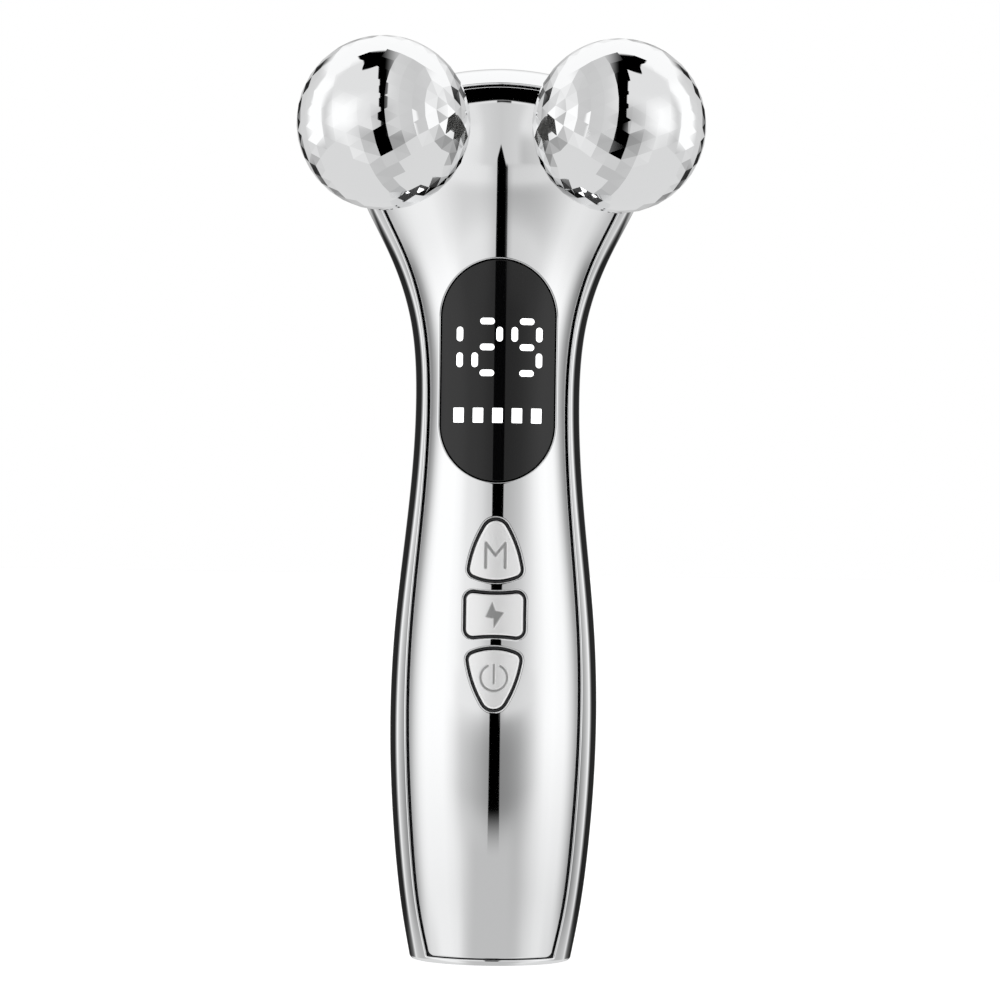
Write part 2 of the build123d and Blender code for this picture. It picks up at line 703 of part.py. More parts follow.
with BuildPart() as roller:
    ConvexPolyhedron(facet_corners())
    with BuildSketch(axle_plane(1, ROLLER_MOUTH)):
        Circle(ROLLER_BORE_RADIUS)
    extrude(amount=ROLLER_BORE_END - ROLLER_MOUTH, mode=Mode.SUBTRACT)
    split(bisect_by=axle_plane(1, ROLLER_MOUTH), keep=Keep.TOP)
save_pair(roller.part, "roller")

BUSH_OUTER = 3.6
HUB_START, HUB_END = ROLLER_MOUTH + 0.2, ROLLER_BORE_END - 0.3
OUTER_BUSH = (ROLLER_MOUTH + 0.6, ROLLER_MOUTH + 5.6)
INNER_BUSH = (1.5, 5.5)
CLIP_START, CLIP_END = 6.05, 6.45
CLIP_GROOVE = 1.6
CLIP_RADIUS = 3.0
CLIP_MOUTH = 2.0
PRESSED = 0.02  # drawn clearance of a pressed or snapped fit
FOOT_CHAMFER = 0.3
TIP_CHAMFER = 0.4

save_pair(
    turned(ring_profile(BUSH_OUTER, ROLLER_BORE_RADIUS - PRESSED, HUB_START, HUB_END)),
    "roller_hub",
)
for name, (start, end) in (("outer_bush", OUTER_BUSH), ("inner_bush", INNER_BUSH)):
    save_pair(turned(ring_profile(AXLE_RADIUS + RUNNING, BUSH_OUTER - PRESSED, start, end)), name)

axle_profile = (
    (0, AXLE_FOOT),
    (AXLE_RADIUS - FOOT_CHAMFER, AXLE_FOOT),
    (AXLE_RADIUS, AXLE_FOOT + FOOT_CHAMFER),
    (AXLE_RADIUS, CLIP_START - PRESSED),
    (CLIP_GROOVE, CLIP_START - PRESSED),
    (CLIP_GROOVE, CLIP_END + PRESSED),
    (AXLE_RADIUS, CLIP_END + PRESSED),
    (AXLE_RADIUS - TIP_CHAMFER, AXLE_TIP),
    (0, AXLE_TIP),
)
save_pair(turned(axle_profile), "axle")

with BuildPart() as axle_clip:
    add(turned(ring_profile(CLIP_GROOVE + PRESSED, CLIP_RADIUS, CLIP_START, CLIP_END)))
    with BuildSketch(axle_plane(1, CLIP_START)):
        with Locations((CLIP_RADIUS, 0)):
            Rectangle(2 * CLIP_RADIUS, CLIP_MOUTH)
    extrude(amount=CLIP_END - CLIP_START, both=True, mode=Mode.SUBTRACT)
save_pair(axle_clip.part, "axle_clip")

COLLAR_BORE = AXLE_RADIUS + FIT / 2
save_pair(
    turned(ring_profile(COLLAR_BORE, WASHER_RADIUS, COLLAR_FACE, COLLAR_FACE + WASHER_THICK)),
    "thrust_washer",
)

with BuildPart() as axle_collar:
    with BuildSketch(TURNING_PLANE):
        with BuildLine():
            Polyline(
                (COLLAR_TOP_RADIUS, COLLAR_FACE),
                (COLLAR_BORE, COLLAR_FACE),
                (COLLAR_BORE, COLLAR_FOOT),
                (COLLAR_FOOT_RADIUS, COLLAR_FOOT),
            )
            Spline(
                (COLLAR_FOOT_RADIUS, COLLAR_FOOT),
                COLLAR_NECK,
                (COLLAR_TOP_RADIUS, COLLAR_FACE),
                tangents=[COLLAR_FLARE, (0, 1)],
            )
        make_face()
    revolve(axis=AXLE_LINE)
    add(outer, mode=Mode.SUBTRACT)
save_pair(axle_collar.part, "axle_collar")

YOKE_BASE_Z, YOKE_TOP_Z = 131.0, 147.5
YOKE_WIDTH = 27.0
YOKE_ROUND = 3.0
YOKE_CLEARANCE = 0.35  # inside the housing's wall
YOKE_SCREW_Y = -5.0  # the seats of the screw heads
HEAD_ROOM = 0.2
POCKET_Z = 138.5
POCKET_Y = -6.0
POCKET_WIDTH, POCKET_HEIGHT = 4.0, 11.0
POCKET_ROUND = 1.2

with BuildPart() as roller_yoke:
    with BuildSketch(front_plane((YOKE_BASE_Z + YOKE_TOP_Z) / 2, -YOKE_BACK_Y)):
        RectangleRounded(YOKE_WIDTH, YOKE_TOP_Z - YOKE_BASE_Z, YOKE_ROUND)
    extrude(amount=2 * CUT_REACH)
    add(body_solid(WALL + YOKE_CLEARANCE), mode=Mode.INTERSECT)
    # lightening pocket in the middle of the front
    with BuildSketch(front_plane(POCKET_Z, -POCKET_Y)):
        RectangleRounded(POCKET_WIDTH, POCKET_HEIGHT, POCKET_ROUND)
    extrude(amount=CUT_REACH, mode=Mode.SUBTRACT)
    for side in (1, -1):
        with BuildSketch(axle_plane(side, COLLAR_FACE)):
            Circle(AXLE_RADIUS + PRESSED)
        extrude(amount=AXLE_FOOT - COLLAR_FACE - YOKE_ROUND, mode=Mode.SUBTRACT)
    # screw holes, sunk for the heads
    with BuildSketch(front_plane(0, -YOKE_BACK_Y)):
        with Locations(*YOKE_POSTS):
            Circle(SCREW_RADIUS + FIT)
    extrude(amount=CUT_REACH, mode=Mode.SUBTRACT)
    with BuildSketch(front_plane(0, -YOKE_SCREW_Y)):
        with Locations(*YOKE_POSTS):
            Circle(SCREW_HEAD_RADIUS + HEAD_ROOM)
    extrude(amount=CUT_REACH, mode=Mode.SUBTRACT)
save(roller_yoke.part, "roller_yoke")

save(screws(YOKE_POSTS, YOKE_SCREW_Y, YOKE_SCREW_LENGTH), "yoke_screws")

# Bent strips that bring the current to the axles: one leg up the yoke's back, one foot forwards under it.
SPRING_X = 6.0
SPRING_WIDTH = 1.7
SPRING_THICK = 0.3
SPRING_BASE_Z, SPRING_TOP_Z = 128.4, 140.5
SPRING_BACK_Y = YOKE_BACK_Y + SPRING_THICK
SPRING_FRONT_Y = -2.6

with BuildPart() as contact_spring:
    with BuildSketch(front_plane((SPRING_BASE_Z + SPRING_TOP_Z) / 2, -SPRING_BACK_Y)):
        with Locations((SPRING_X, 0)):
            Rectangle(SPRING_WIDTH, SPRING_TOP_Z - SPRING_BASE_Z)
    extrude(amount=SPRING_THICK)
    with BuildSketch(Plane.XY.offset(SPRING_BASE_Z)):
        with Locations((SPRING_X, (YOKE_BACK_Y + SPRING_FRONT_Y) / 2)):
            Rectangle(SPRING_WIDTH, YOKE_BACK_Y - SPRING_FRONT_Y)
    extrude(amount=SPRING_THICK)
save_pair(contact_spring.part, "contact_spring")
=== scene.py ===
# %% [markdown]
# # Dressing a chrome face roller
# The object is a Y-shaped chrome handle about 16 cm tall. It has a black display, three chrome buttons and
# two faceted chrome balls. Its mechanical parts come ready from CAD. Mirror chrome shows every flaw of a
# surface, so this lesson is mostly about making smooth skins with exact normals and something good to reflect.

import json
import math

import bpy
import numpy as np
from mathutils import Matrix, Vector
from mathutils.geometry import delaunay_2d_cdt


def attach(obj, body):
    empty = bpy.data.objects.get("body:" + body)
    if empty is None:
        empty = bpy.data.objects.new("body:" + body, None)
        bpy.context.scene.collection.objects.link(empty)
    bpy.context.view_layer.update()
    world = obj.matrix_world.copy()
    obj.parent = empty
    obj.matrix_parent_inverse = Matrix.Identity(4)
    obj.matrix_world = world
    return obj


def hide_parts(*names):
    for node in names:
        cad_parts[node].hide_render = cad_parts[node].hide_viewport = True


MM = 0.001
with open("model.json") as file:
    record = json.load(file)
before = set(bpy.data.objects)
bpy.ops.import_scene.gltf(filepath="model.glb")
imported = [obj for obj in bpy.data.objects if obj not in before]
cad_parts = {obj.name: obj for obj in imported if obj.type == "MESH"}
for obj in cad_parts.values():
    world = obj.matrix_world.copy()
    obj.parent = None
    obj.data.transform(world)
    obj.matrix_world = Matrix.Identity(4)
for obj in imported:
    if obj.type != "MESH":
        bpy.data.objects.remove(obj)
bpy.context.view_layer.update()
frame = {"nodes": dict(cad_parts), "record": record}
scene = bpy.context.scene
bpy.ops.object.select_all(action="DESELECT")

# %% [markdown]
# ## Camera
# The handle stands upright and is seen straight from the front, from about 60 cm away with a long lens.
# The camera is level, a little to the right of the middle, and tilted by less than a degree.

# %% Camera
CAMERA_DISTANCE = 0.600
CAMERA_HEIGHT = 0.0832
CAMERA_SIDE = 0.00067
CAMERA_ROLL = math.radians(-0.80)
VIEW_WIDTH = 0.1815  # what the view takes in at the handle's middle
SENSOR_WIDTH = 36.0

bpy.ops.object.camera_add(
    location=(CAMERA_SIDE, -CAMERA_DISTANCE, CAMERA_HEIGHT),
    rotation=(math.radians(90), CAMERA_ROLL, 0),
)
camera = bpy.context.object
camera.data.sensor_width = SENSOR_WIDTH
camera.data.lens = SENSOR_WIDTH * CAMERA_DISTANCE / VIEW_WIDTH
camera.data.clip_start = 0.01
scene.camera = camera
print("Lens:", round(camera.data.lens, 1), "mm")

# %% [markdown]
# ## Small helpers for shader nodes
# A material or a world is a web of nodes. These helpers add a node, and put either a number or a link
# into its sockets, so that the recipes further down stay short.


# %% Node helpers
def feed(node, sockets):
    """Sets sockets of a node, by name or place: each to a plain value, or to another node's output."""
    for key, value in sockets.items():
        if isinstance(value, bpy.types.NodeSocket):
            node.id_data.links.new(value, node.inputs[key])
        else:
            node.inputs[key].default_value = value


def add_node(tree, kind, sockets=None, **settings):
    """A new node with its settings and sockets."""
    node = tree.nodes.new(kind)
    for name, value in settings.items():
        setattr(node, name, value)
    feed(node, sockets or {})
    return node


def calc(tree, operation, *values):
    """One step of arithmetic."""
    return add_node(tree, "ShaderNodeMath", dict(enumerate(values)), operation=operation).outputs[0]


def smooth_step(tree, value, low, high):
    """Rises smoothly from 0 at low to 1 at high."""
    sockets = {"Value": value, "From Min": low, "From Max": high}
    return add_node(tree, "ShaderNodeMapRange", sockets, interpolation_type="SMOOTHSTEP").outputs[0]


def window(tree, value, low, high, soft):
    """1 between low and high and 0 outside, with soft edges."""
    rise = smooth_step(tree, value, low - soft, low + soft)
    fall = smooth_step(tree, value, high + soft, high - soft)
    return calc(tree, "MULTIPLY", rise, fall)


def mix(tree, factor, first, second):
    """first where factor is 0, second where it is 1."""
    return calc(tree, "ADD", calc(tree, "MULTIPLY", first, calc(tree, "SUBTRACT", 1.0, factor)),
                calc(tree, "MULTIPLY", second, factor))


def ramp(tree, factor, stops):
    """A brightness that follows (place, brightness) stops, with places from 0 to 1."""
    node = add_node(tree, "ShaderNodeValToRGB", {"Fac": factor})
    elements = node.color_ramp.elements
    while len(elements) < len(stops):
        elements.new(0.5)
    for element, (place, level) in zip(elements, stops):
        element.position = place
        element.color = (level, level, level, 1.0)
    return node.outputs["Color"]


# %% [markdown]
# ## The studio round the chrome
# Chrome has no colour of its own: what it shows is the room. A product studio stands the object between two
# tall pale panels that get brighter towards the sides, with a narrow dark gap between them in front and a dark
# bar above, and black flags behind the object to draw dark lines along its edges. A world shader needs only
# the direction of a ray for all this, and gives no noise. The angle from straight ahead picks the brightness.
# The camera itself sees plain white behind the object.

# %% World
CHROME_LEVEL = 0.90  # how much of the light the chrome gives back
HALF_TURN = 180.0

# Stops of (degrees round from straight ahead, brightness).
BEHIND = [
    (70, 0.96), (74, 0.88), (80, 0.67), (86, 0.42), (93, 0.25), (99, 0.30), (106, 0.45), (112, 0.62),
    (118, 0.95), (122, 0.30), (127, 0.02), (150, 0.02), (166, 0.05), (172, 1.0), (180, 1.0),
]
LEFT_PANEL = [(0, 0.50), (9, 0.56), (16, 0.69), (24, 0.77), (32, 0.81), (40, 0.94), (48, 1.0), (66, 1.0)]
RIGHT_PANEL = [(0, 0.42), (12, 0.44), (19, 0.49), (27, 0.57), (35, 0.71), (43, 0.86), (51, 0.97), (58, 1.0)]
LEFT_FOOT, RIGHT_FOOT = 0.85, 0.78  # the panels are dimmer towards the table
BACKDROP = 0.50
BELOW = 0.68
CEILING_FRONT, CEILING_BACK = 0.74, 0.95

# Where one part of the room fades into the next, as shares of the ray's direction sideways, ahead or up.
PANELS_MEET = (-0.08, 0.10)
FOOT_ENDS = (-0.28, -0.05)
FLAGS_START = (0.10, 0.30)  # the black flags stand off to the sides
FRONT_STARTS = (-0.1, 0.1)
CEILING_STARTS = (0.20, 0.60)
BELOW_STARTS = (-0.22, -0.45)
BELOW_ENDS = (0.55, 0.35)

GAP_SIDE = 0.03
GAP_HALF, BAR_HALF = 0.108, 0.35
GAP_SOFT, BAR_SOFT = 0.006, 0.01
GAP_LOW, GAP_HIGH, BAR_HIGH = -60.0, 72.0, 102.0  # degrees above the horizon
SOFT_ANGLE = 1.0

world = bpy.data.worlds.new("studio")
scene.world = world
world.use_nodes = True
tree = world.node_tree
tree.nodes.clear()
ray = add_node(tree, "ShaderNodeTexCoord").outputs["Generated"]
side, depth, height = add_node(tree, "ShaderNodeSeparateXYZ", {0: ray}).outputs
ahead = calc(tree, "MULTIPLY", depth, -1.0)
swing = calc(tree, "DIVIDE", calc(tree, "ARCCOSINE", ahead), math.pi)
lift = calc(tree, "DEGREES", calc(tree, "ARCTAN2", height, ahead))

left, right = (
    ramp(tree, swing, [(angle / HALF_TURN, level / CHROME_LEVEL) for angle, level in panel + BEHIND])
    for panel in (LEFT_PANEL, RIGHT_PANEL)
)
foot = smooth_step(tree, height, *FOOT_ENDS)
left = calc(tree, "MULTIPLY", left, mix(tree, foot, LEFT_FOOT, 1.0))
right = calc(tree, "MULTIPLY", right, mix(tree, foot, RIGHT_FOOT, 1.0))
panels = mix(tree, smooth_step(tree, side, *PANELS_MEET), left, right)
beside = smooth_step(tree, calc(tree, "ABSOLUTE", side), *FLAGS_START)
in_front = smooth_step(tree, ahead, *FRONT_STARTS)
panels = mix(tree, calc(tree, "MAXIMUM", beside, in_front), BACKDROP / CHROME_LEVEL, panels)
ceiling = mix(tree, in_front, CEILING_BACK / CHROME_LEVEL, CEILING_FRONT / CHROME_LEVEL)
room = mix(tree, smooth_step(tree, height, *CEILING_STARTS), panels, ceiling)
below = calc(tree, "MULTIPLY", smooth_step(tree, height, *BELOW_STARTS), smooth_step(tree, ahead, *BELOW_ENDS))
room = mix(tree, below, room, BELOW / CHROME_LEVEL)
gap = window(tree, side, GAP_SIDE - GAP_HALF, GAP_SIDE + GAP_HALF, GAP_SOFT)
gap = calc(tree, "MULTIPLY", gap, window(tree, lift, GAP_LOW, GAP_HIGH, SOFT_ANGLE))
bar = window(tree, side, -BAR_HALF, BAR_HALF, BAR_SOFT)
bar = calc(tree, "MULTIPLY", bar, window(tree, lift, GAP_HIGH, BAR_HIGH, SOFT_ANGLE))
seen = mix(tree, calc(tree, "MAXIMUM", gap, bar), room, 0.0)
to_camera = add_node(tree, "ShaderNodeLightPath").outputs["Is Camera Ray"]
background = add_node(tree, "ShaderNodeBackground", {"Color": mix(tree, to_camera, seen, 1.0)})
add_node(tree, "ShaderNodeOutputWorld", {"Surface": background.outputs[0]})
scene.view_settings.view_transform = "Standard"
print("Studio world with", len(tree.nodes), "nodes")

# %% [markdown]
# ## Floor and reflector cards
# The table is white and evenly lit. The chrome would mirror an endless white table, so the table that the
# camera sees is hidden from reflections. Cards work the other way round: only reflections find them. Four lie
# on the table. The one near the handle ends the dark line low on it, a black one shades the chrome, and two
# pale ones farther out light it again. A fifth bends over the head and ends the dark line there. All of them
# fade out softly at their borders.

# %% Floor
FLOOR_SIZE = 6.0
FLOOR_GLOW = 0.62

bpy.ops.mesh.primitive_plane_add(size=FLOOR_SIZE, location=(0, 0, 0))
floor = bpy.context.object
floor.name = "floor"
floor.visible_glossy = False
paint = bpy.data.materials.new("floor_white")
paint.use_nodes = True
feed(paint.node_tree.nodes["Principled BSDF"], {
    "Base Color": (0.85, 0.85, 0.85, 1.0), "Roughness": 0.9, "Specular IOR Level": 0.0,
    "Emission Color": (1.0, 1.0, 1.0, 1.0), "Emission Strength": FLOOR_GLOW,
})
floor.data.materials.append(paint)


# %% Reflector cards
TABLE_CARD_GRID, HEAD_CARD_GRID, BALL_CARD_GRID = (12, 40), (32, 24), (48, 6)


def card_paint(name, level, fades, strength=1.0):
    """A glowing paint that fades out along its UV map: fades are (axis, gone, full) in UV units.

    The level is a number, or a list of (place, level) stops across the card.
    """
    glow = bpy.data.materials.new(name)
    glow.use_nodes = True
    tree = glow.node_tree
    tree.nodes.clear()
    place = add_node(tree, "ShaderNodeSeparateXYZ", {0: add_node(tree, "ShaderNodeTexCoord").outputs["UV"]})
    cover = strength
    for axis, gone, full in fades:
        cover = calc(tree, "MULTIPLY", smooth_step(tree, place.outputs[axis], gone, full), cover)
    stops = level if isinstance(level, list) else [(0.0, level), (1.0, level)]
    shine = add_node(tree, "ShaderNodeEmission", {"Color": ramp(tree, place.outputs["X"], stops)}).outputs[0]
    clear = add_node(tree, "ShaderNodeBsdfTransparent").outputs[0]
    blend = add_node(tree, "ShaderNodeMixShader", {0: cover, 1: clear, 2: shine})
    add_node(tree, "ShaderNodeOutputMaterial", {"Surface": blend.outputs[0]})
    return glow


def reflector(name, grid, place, paint):
    """A card that only reflections find. place turns shares across and up it, from 0 to 1, into a point."""
    columns, rows = grid
    bpy.ops.mesh.primitive_grid_add(x_subdivisions=columns, y_subdivisions=rows, size=1.0, calc_uvs=True)
    card = bpy.context.object
    card.name = name
    for vertex in card.data.vertices:
        across, up, _ = vertex.co
        vertex.co = place(across + 0.5, up + 0.5)
    card.visible_camera = False
    card.visible_diffuse = False
    card.visible_shadow = False
    card.data.materials.append(paint)


def table_card(name, paint, near, far, left, right, drop):
    """A card on the table that widens with the distance in front of the handle's middle.

    left and right are its borders, as shares of that distance.
    """

    def place(across, up):
        distance = far + (near - far) * up
        return (left + (right - left) * across) * distance, -distance, -drop

    reflector(name, TABLE_CARD_GRID, place, paint)


# The first card is full from its near end on.
LOW_NEAR, LOW_FULL, LOW_FAR = 0.005, 0.095, 0.170
LOW_HALF = 0.65
LOW_FADES = (("X", 0.0, 0.31), ("X", 1.0, 0.69), ("Y", 0.0, (LOW_FAR - LOW_FULL) / LOW_FAR))
LOW_LEVEL = 0.56
LOW_DROP = 0.0004
low_paint = card_paint("low_card_glow", LOW_LEVEL, LOW_FADES)
table_card("low_card", low_paint, LOW_NEAR, LOW_FAR, -LOW_HALF, LOW_HALF, LOW_DROP)

# The others also fade in. Their ends say where they start, are full from, are full to and stop.
SHADE_ENDS, SHADE_DROP, SHADE_STRENGTH = (0.080, 0.200, 0.300, 0.760), 0.0006, 0.42
GLOW_ENDS, GLOW_DROP, GLOW_STRENGTH = (0.490, 0.700, 0.780, 3.000), 0.0008, 0.72
for name, paint_name, ends, left_border, right_border, left_full, right_full, level, strength, drop in (
    ("shade_card", "shade", SHADE_ENDS, -1.20, 1.20, 0.45, 0.60, 0.0, SHADE_STRENGTH, SHADE_DROP),
    ("glow_left", "glow_left_paint", GLOW_ENDS, -0.95, -0.04, 0.40, 0.62, 0.88, GLOW_STRENGTH, GLOW_DROP),
    ("glow_right", "glow_right_paint", GLOW_ENDS, 0.09, 1.10, 0.16, 0.45, 0.78, GLOW_STRENGTH, GLOW_DROP),
):
    near, near_full, far_full, far = ends
    fades = (
        ("X", 0.0, left_full), ("X", 1.0, right_full),
        ("Y", 0.0, (far - far_full) / (far - near)), ("Y", 1.0, 1.0 - (near_full - near) / (far - near)),
    )
    table_card(name, card_paint(paint_name, level, fades, strength), near, far, left_border, right_border, drop)

HEAD_RADIUS = 0.042
HEAD_MIDDLE = (0.0, -0.013, 0.150)
HEAD_HALF = 0.0195
HEAD_TIP = 3.0  # degrees above the horizon, where the dark line ends
HEAD_NOTCH = 20.0
NOTCH_HALF = 0.0050
HEAD_HIGH = 72.0
HEAD_LEVELS = [(0.0, 0.76), (0.10, 0.73), (0.30, 0.665), (0.50, 0.63), (0.70, 0.66), (0.90, 0.70), (1.0, 0.73)]
HEAD_FADES = (("X", 0.0, 0.18), ("X", 1.0, 0.82), ("Y", 0.0, 0.05), ("Y", 1.0, 0.96))


def over_head(across, up):
    """A point of the card that bends over the head. Its lower border peaks in the middle."""
    x = HEAD_HALF * (2 * across - 1)
    low = HEAD_TIP - HEAD_NOTCH * min(1.0, abs(x) / NOTCH_HALF)
    angle = math.radians(low + (HEAD_HIGH - low) * up)
    return Vector(HEAD_MIDDLE) + HEAD_RADIUS * Vector((x / HEAD_RADIUS, -math.cos(angle), math.sin(angle)))


reflector("head_card", HEAD_CARD_GRID, over_head, card_paint("head_card_glow", HEAD_LEVELS, HEAD_FADES))

# %% [markdown]
# ## Cards round the balls
# The black flags that draw the handle's edges would also put a black rim on the balls. A curved card beside
# each ball, higher than the handle's reflections reach, gives it a pale rim with a narrow dark line, which the
# facets break up into dark chips.

# %% Ball cards
ROLLER_CENTRE = np.array([20.4, -27.0, 148.3]) * MM
BALL_CARD_RADIUS = 0.055
BALL_CARD_START, BALL_CARD_END = 68.0, 174.0  # degrees round from straight ahead
BALL_CARD_LOW, BALL_CARD_HIGH = 0.124, 0.200
BALL_CARD_LEVELS = [
    (68, 0.95), (80, 1.0), (101, 1.0), (105, 0.68), (133, 0.60), (136, 0.02), (144, 0.02), (147, 0.50),
    (160, 0.62), (166, 0.35), (174, 0.45),
]

BALL_CARD_FADES = (("X", 0.0, 0.12), ("Y", 0.0, 0.12), ("Y", 1.0, 0.80))
BALL_CARD_SPAN = BALL_CARD_END - BALL_CARD_START


def ball_card(side, sign):
    """The card beside one ball."""

    def place(across, up):
        angle = math.radians(BALL_CARD_START + BALL_CARD_SPAN * across)
        return (
            sign * (ROLLER_CENTRE[0] + BALL_CARD_RADIUS * math.sin(angle)),
            ROLLER_CENTRE[1] - BALL_CARD_RADIUS * math.cos(angle),
            BALL_CARD_LOW + (BALL_CARD_HIGH - BALL_CARD_LOW) * up,
        )

    stops = [
        ((angle - BALL_CARD_START) / BALL_CARD_SPAN, level / CHROME_LEVEL) for angle, level in BALL_CARD_LEVELS
    ]
    paint = card_paint(f"ball_card_glow_{side}", stops, BALL_CARD_FADES)
    reflector(f"ball_card_{side}", BALL_CARD_GRID, place, paint)


ball_card("left", -1)
ball_card("right", 1)
print("Floor and cards ready")

# %% [markdown]
# ## Materials
# Every finish starts from the Principled shader. Real chrome has faint polishing haze, so a stretched noise
# varies its roughness a little. Mouldings and boards get a fine grain bump, and the motor's can a turned grain.
# All patterns read Object coordinates, so they stay on the piece when it moves.


# %% Material recipes
GRAIN_DEPTH = 0.05 * MM
NOISE_DETAIL = 4.0

materials = {}


def finish(name, colour, metallic=0.0, roughness=0.5, grain=0.0, grain_size=0.5, stretch=(1, 1, 1), uneven=0.0):
    """A Principled material with a noise that varies its roughness, and a bump of the same grain."""
    material = bpy.data.materials.new(name)
    materials[name] = material
    material.use_nodes = True
    tree = material.node_tree
    shader = tree.nodes["Principled BSDF"]
    feed(shader, {"Base Color": (*colour, 1.0), "Metallic": metallic, "Roughness": roughness})
    place = add_node(tree, "ShaderNodeTexCoord").outputs["Object"]
    place = add_node(tree, "ShaderNodeMapping", {"Vector": place, "Scale": stretch}).outputs[0]
    fineness = {"Scale": 1.0 / (grain_size * MM), "Detail": NOISE_DETAIL}
    noise = add_node(tree, "ShaderNodeTexNoise", {"Vector": place, **fineness}).outputs["Fac"]
    if uneven:
        span = {"To Min": max(0.0, roughness - uneven), "To Max": roughness + uneven}
        feed(shader, {"Roughness": add_node(tree, "ShaderNodeMapRange", {"Value": noise, **span}).outputs[0]})
    if grain:
        bump = add_node(tree, "ShaderNodeBump", {"Height": noise, "Strength": grain, "Distance": GRAIN_DEPTH})
        feed(shader, {"Normal": bump.outputs[0]})
    return shader


CHROME = (0.895, 0.900, 0.905)
CAP_TONE_AND_GROOVE_SHADE = [(0.0, 0.96), (1.0, 0.38)]  # the cap's own tone, and painted shade in the grooves of its mark

finish("chrome_shell", CHROME, 1.0, 0.035, uneven=0.02, grain_size=6, stretch=(1, 1, 0.3))
finish("roller_chrome", CHROME, 1.0, 0.025, uneven=0.015, grain_size=3)
finish("display_black", (0.002, 0.002, 0.0022), 0.0, 0.04, uneven=0.02, grain_size=4)
finish("white_plastic", (0.80, 0.80, 0.78), 0.0, 0.45, grain=0.2, grain_size=0.3)
finish("black_plastic", (0.025, 0.025, 0.027), 0.0, 0.5, grain=0.3, grain_size=0.2)
finish("black_foam", (0.02, 0.02, 0.02), 0.0, 0.9, grain=1.0, grain_size=0.4)
finish("green_board", (0.02, 0.16, 0.07), 0.0, 0.35, grain=0.3, grain_size=0.3)
finish("switch_black", (0.04, 0.04, 0.04), 0.0, 0.5, grain=0.2, grain_size=0.2)
finish("switch_red", (0.5, 0.05, 0.04), 0.0, 0.45, grain=0.2, grain_size=0.2)
finish("steel_screw", (0.55, 0.55, 0.56), 1.0, 0.3, grain=0.2, grain_size=0.2, uneven=0.1)
finish("axle_steel", (0.66, 0.66, 0.67), 1.0, 0.22, uneven=0.08, grain_size=0.3)
finish("socket_steel", (0.62, 0.62, 0.63), 1.0, 0.25, uneven=0.08, grain_size=0.5)
finish("motor_can", (0.60, 0.60, 0.61), 1.0, 0.3, uneven=0.1, grain_size=0.4, stretch=(1, 1, 8))
finish("weight_brass", (0.66, 0.52, 0.26), 1.0, 0.4, grain=0.3, grain_size=0.2)
finish("contact_brass", (0.72, 0.56, 0.28), 1.0, 0.25, uneven=0.08, grain_size=0.6)
finish("bush_brass", (0.70, 0.54, 0.26), 1.0, 0.38, grain=0.3, grain_size=0.15)
finish("battery_wrap", (0.10, 0.22, 0.50), 0.0, 0.3, uneven=0.1, grain_size=2)

button_shader = finish("button_chrome", (0.96, 0.96, 0.965), 0.5, 0.32, uneven=0.03, grain_size=2)
# The caps' colour darkens with the depth of a mark's groove: painted shade in the grooves of each mark.
tree = materials["button_chrome"].node_tree
engraved = add_node(tree, "ShaderNodeAttribute", attribute_name="engraved")
feed(button_shader, {"Base Color": ramp(tree, engraved.outputs["Fac"], CAP_TONE_AND_GROOVE_SHADE)})

lit_shader = finish("display_white", (0.92, 0.93, 0.94), 0.0, 0.4, grain=0.1, grain_size=0.3)
feed(lit_shader, {"Emission Color": (1.0, 1.0, 1.0, 1.0), "Emission Strength": 1.0})
print(len(materials), "finishes")

# %% [markdown]
# ## Which CAD piece has which finish
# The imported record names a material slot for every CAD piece, so one loop dresses them all.

# %% Dress the CAD nodes
slot_of = {part["node"]: part["material_slot"] for part in frame["record"]["subparts"]}
for node, piece in frame["nodes"].items():
    piece.data.materials.clear()
    piece.data.materials.append(materials[slot_of[node]])
print(len(slot_of), "CAD pieces dressed")

# %% [markdown]
# ## The housing's form as a formula
# The chrome covers are cut from one smooth form: at each height its section is two Bezier curves, a front one
# and a back one, whose half width and depths run through a few stations on cubic splines. Mirror chrome shows
# the smallest wobble, so the skins are worked out point by point from the formula, and every vertex also gets
# the form's exact normal.

# %% Stations, splines and sections
STATIONS = (  # height, half width, front depth and back depth in mm
    (0.0, 14.5, 10.4, 10.2),
    (8.0, 16.0, 11.5, 11.3),
    (22.0, 17.7, 12.6, 12.4),
    (42.0, 18.7, 13.3, 13.2),
    (60.0, 18.1, 13.1, 13.1),
    (80.0, 16.1, 12.3, 12.5),
    (102.0, 14.85, 11.9, 12.0),
    (116.0, 16.1, 12.2, 11.7),
    (127.0, 19.8, 13.0, 11.3),
    (137.0, 24.75, 14.4, 11.0),
    (146.0, 27.0, 15.3, 10.8),
)
SHOULDER_Z, SHOULDER_HALF, SHOULDER_FRONT, SHOULDER_BACK = STATIONS[-1]
DOME_RISE = 15.3
DOME_ANGLES = np.radians((16, 32, 46, 58, 68, 76, 82, 90))
CROWN = 8.4
SIDE_FULLNESS = 0.54

rows = [(z, half, front, back, CROWN) for z, half, front, back in STATIONS]
for angle in DOME_ANGLES:
    shrink = math.cos(angle)
    rows.append((SHOULDER_Z + DOME_RISE * math.sin(angle), *(
        size * shrink for size in (SHOULDER_HALF, SHOULDER_FRONT, SHOULDER_BACK, CROWN))))
rows = np.array(rows)
knots = np.concatenate([[0.0], np.cumsum(np.hypot(*np.diff(rows[:, :2], axis=0).T))])
POLE_SLOPE = np.array([0.0, -1.0, *(-size / SHOULDER_HALF for size in (SHOULDER_FRONT, SHOULDER_BACK, CROWN))])


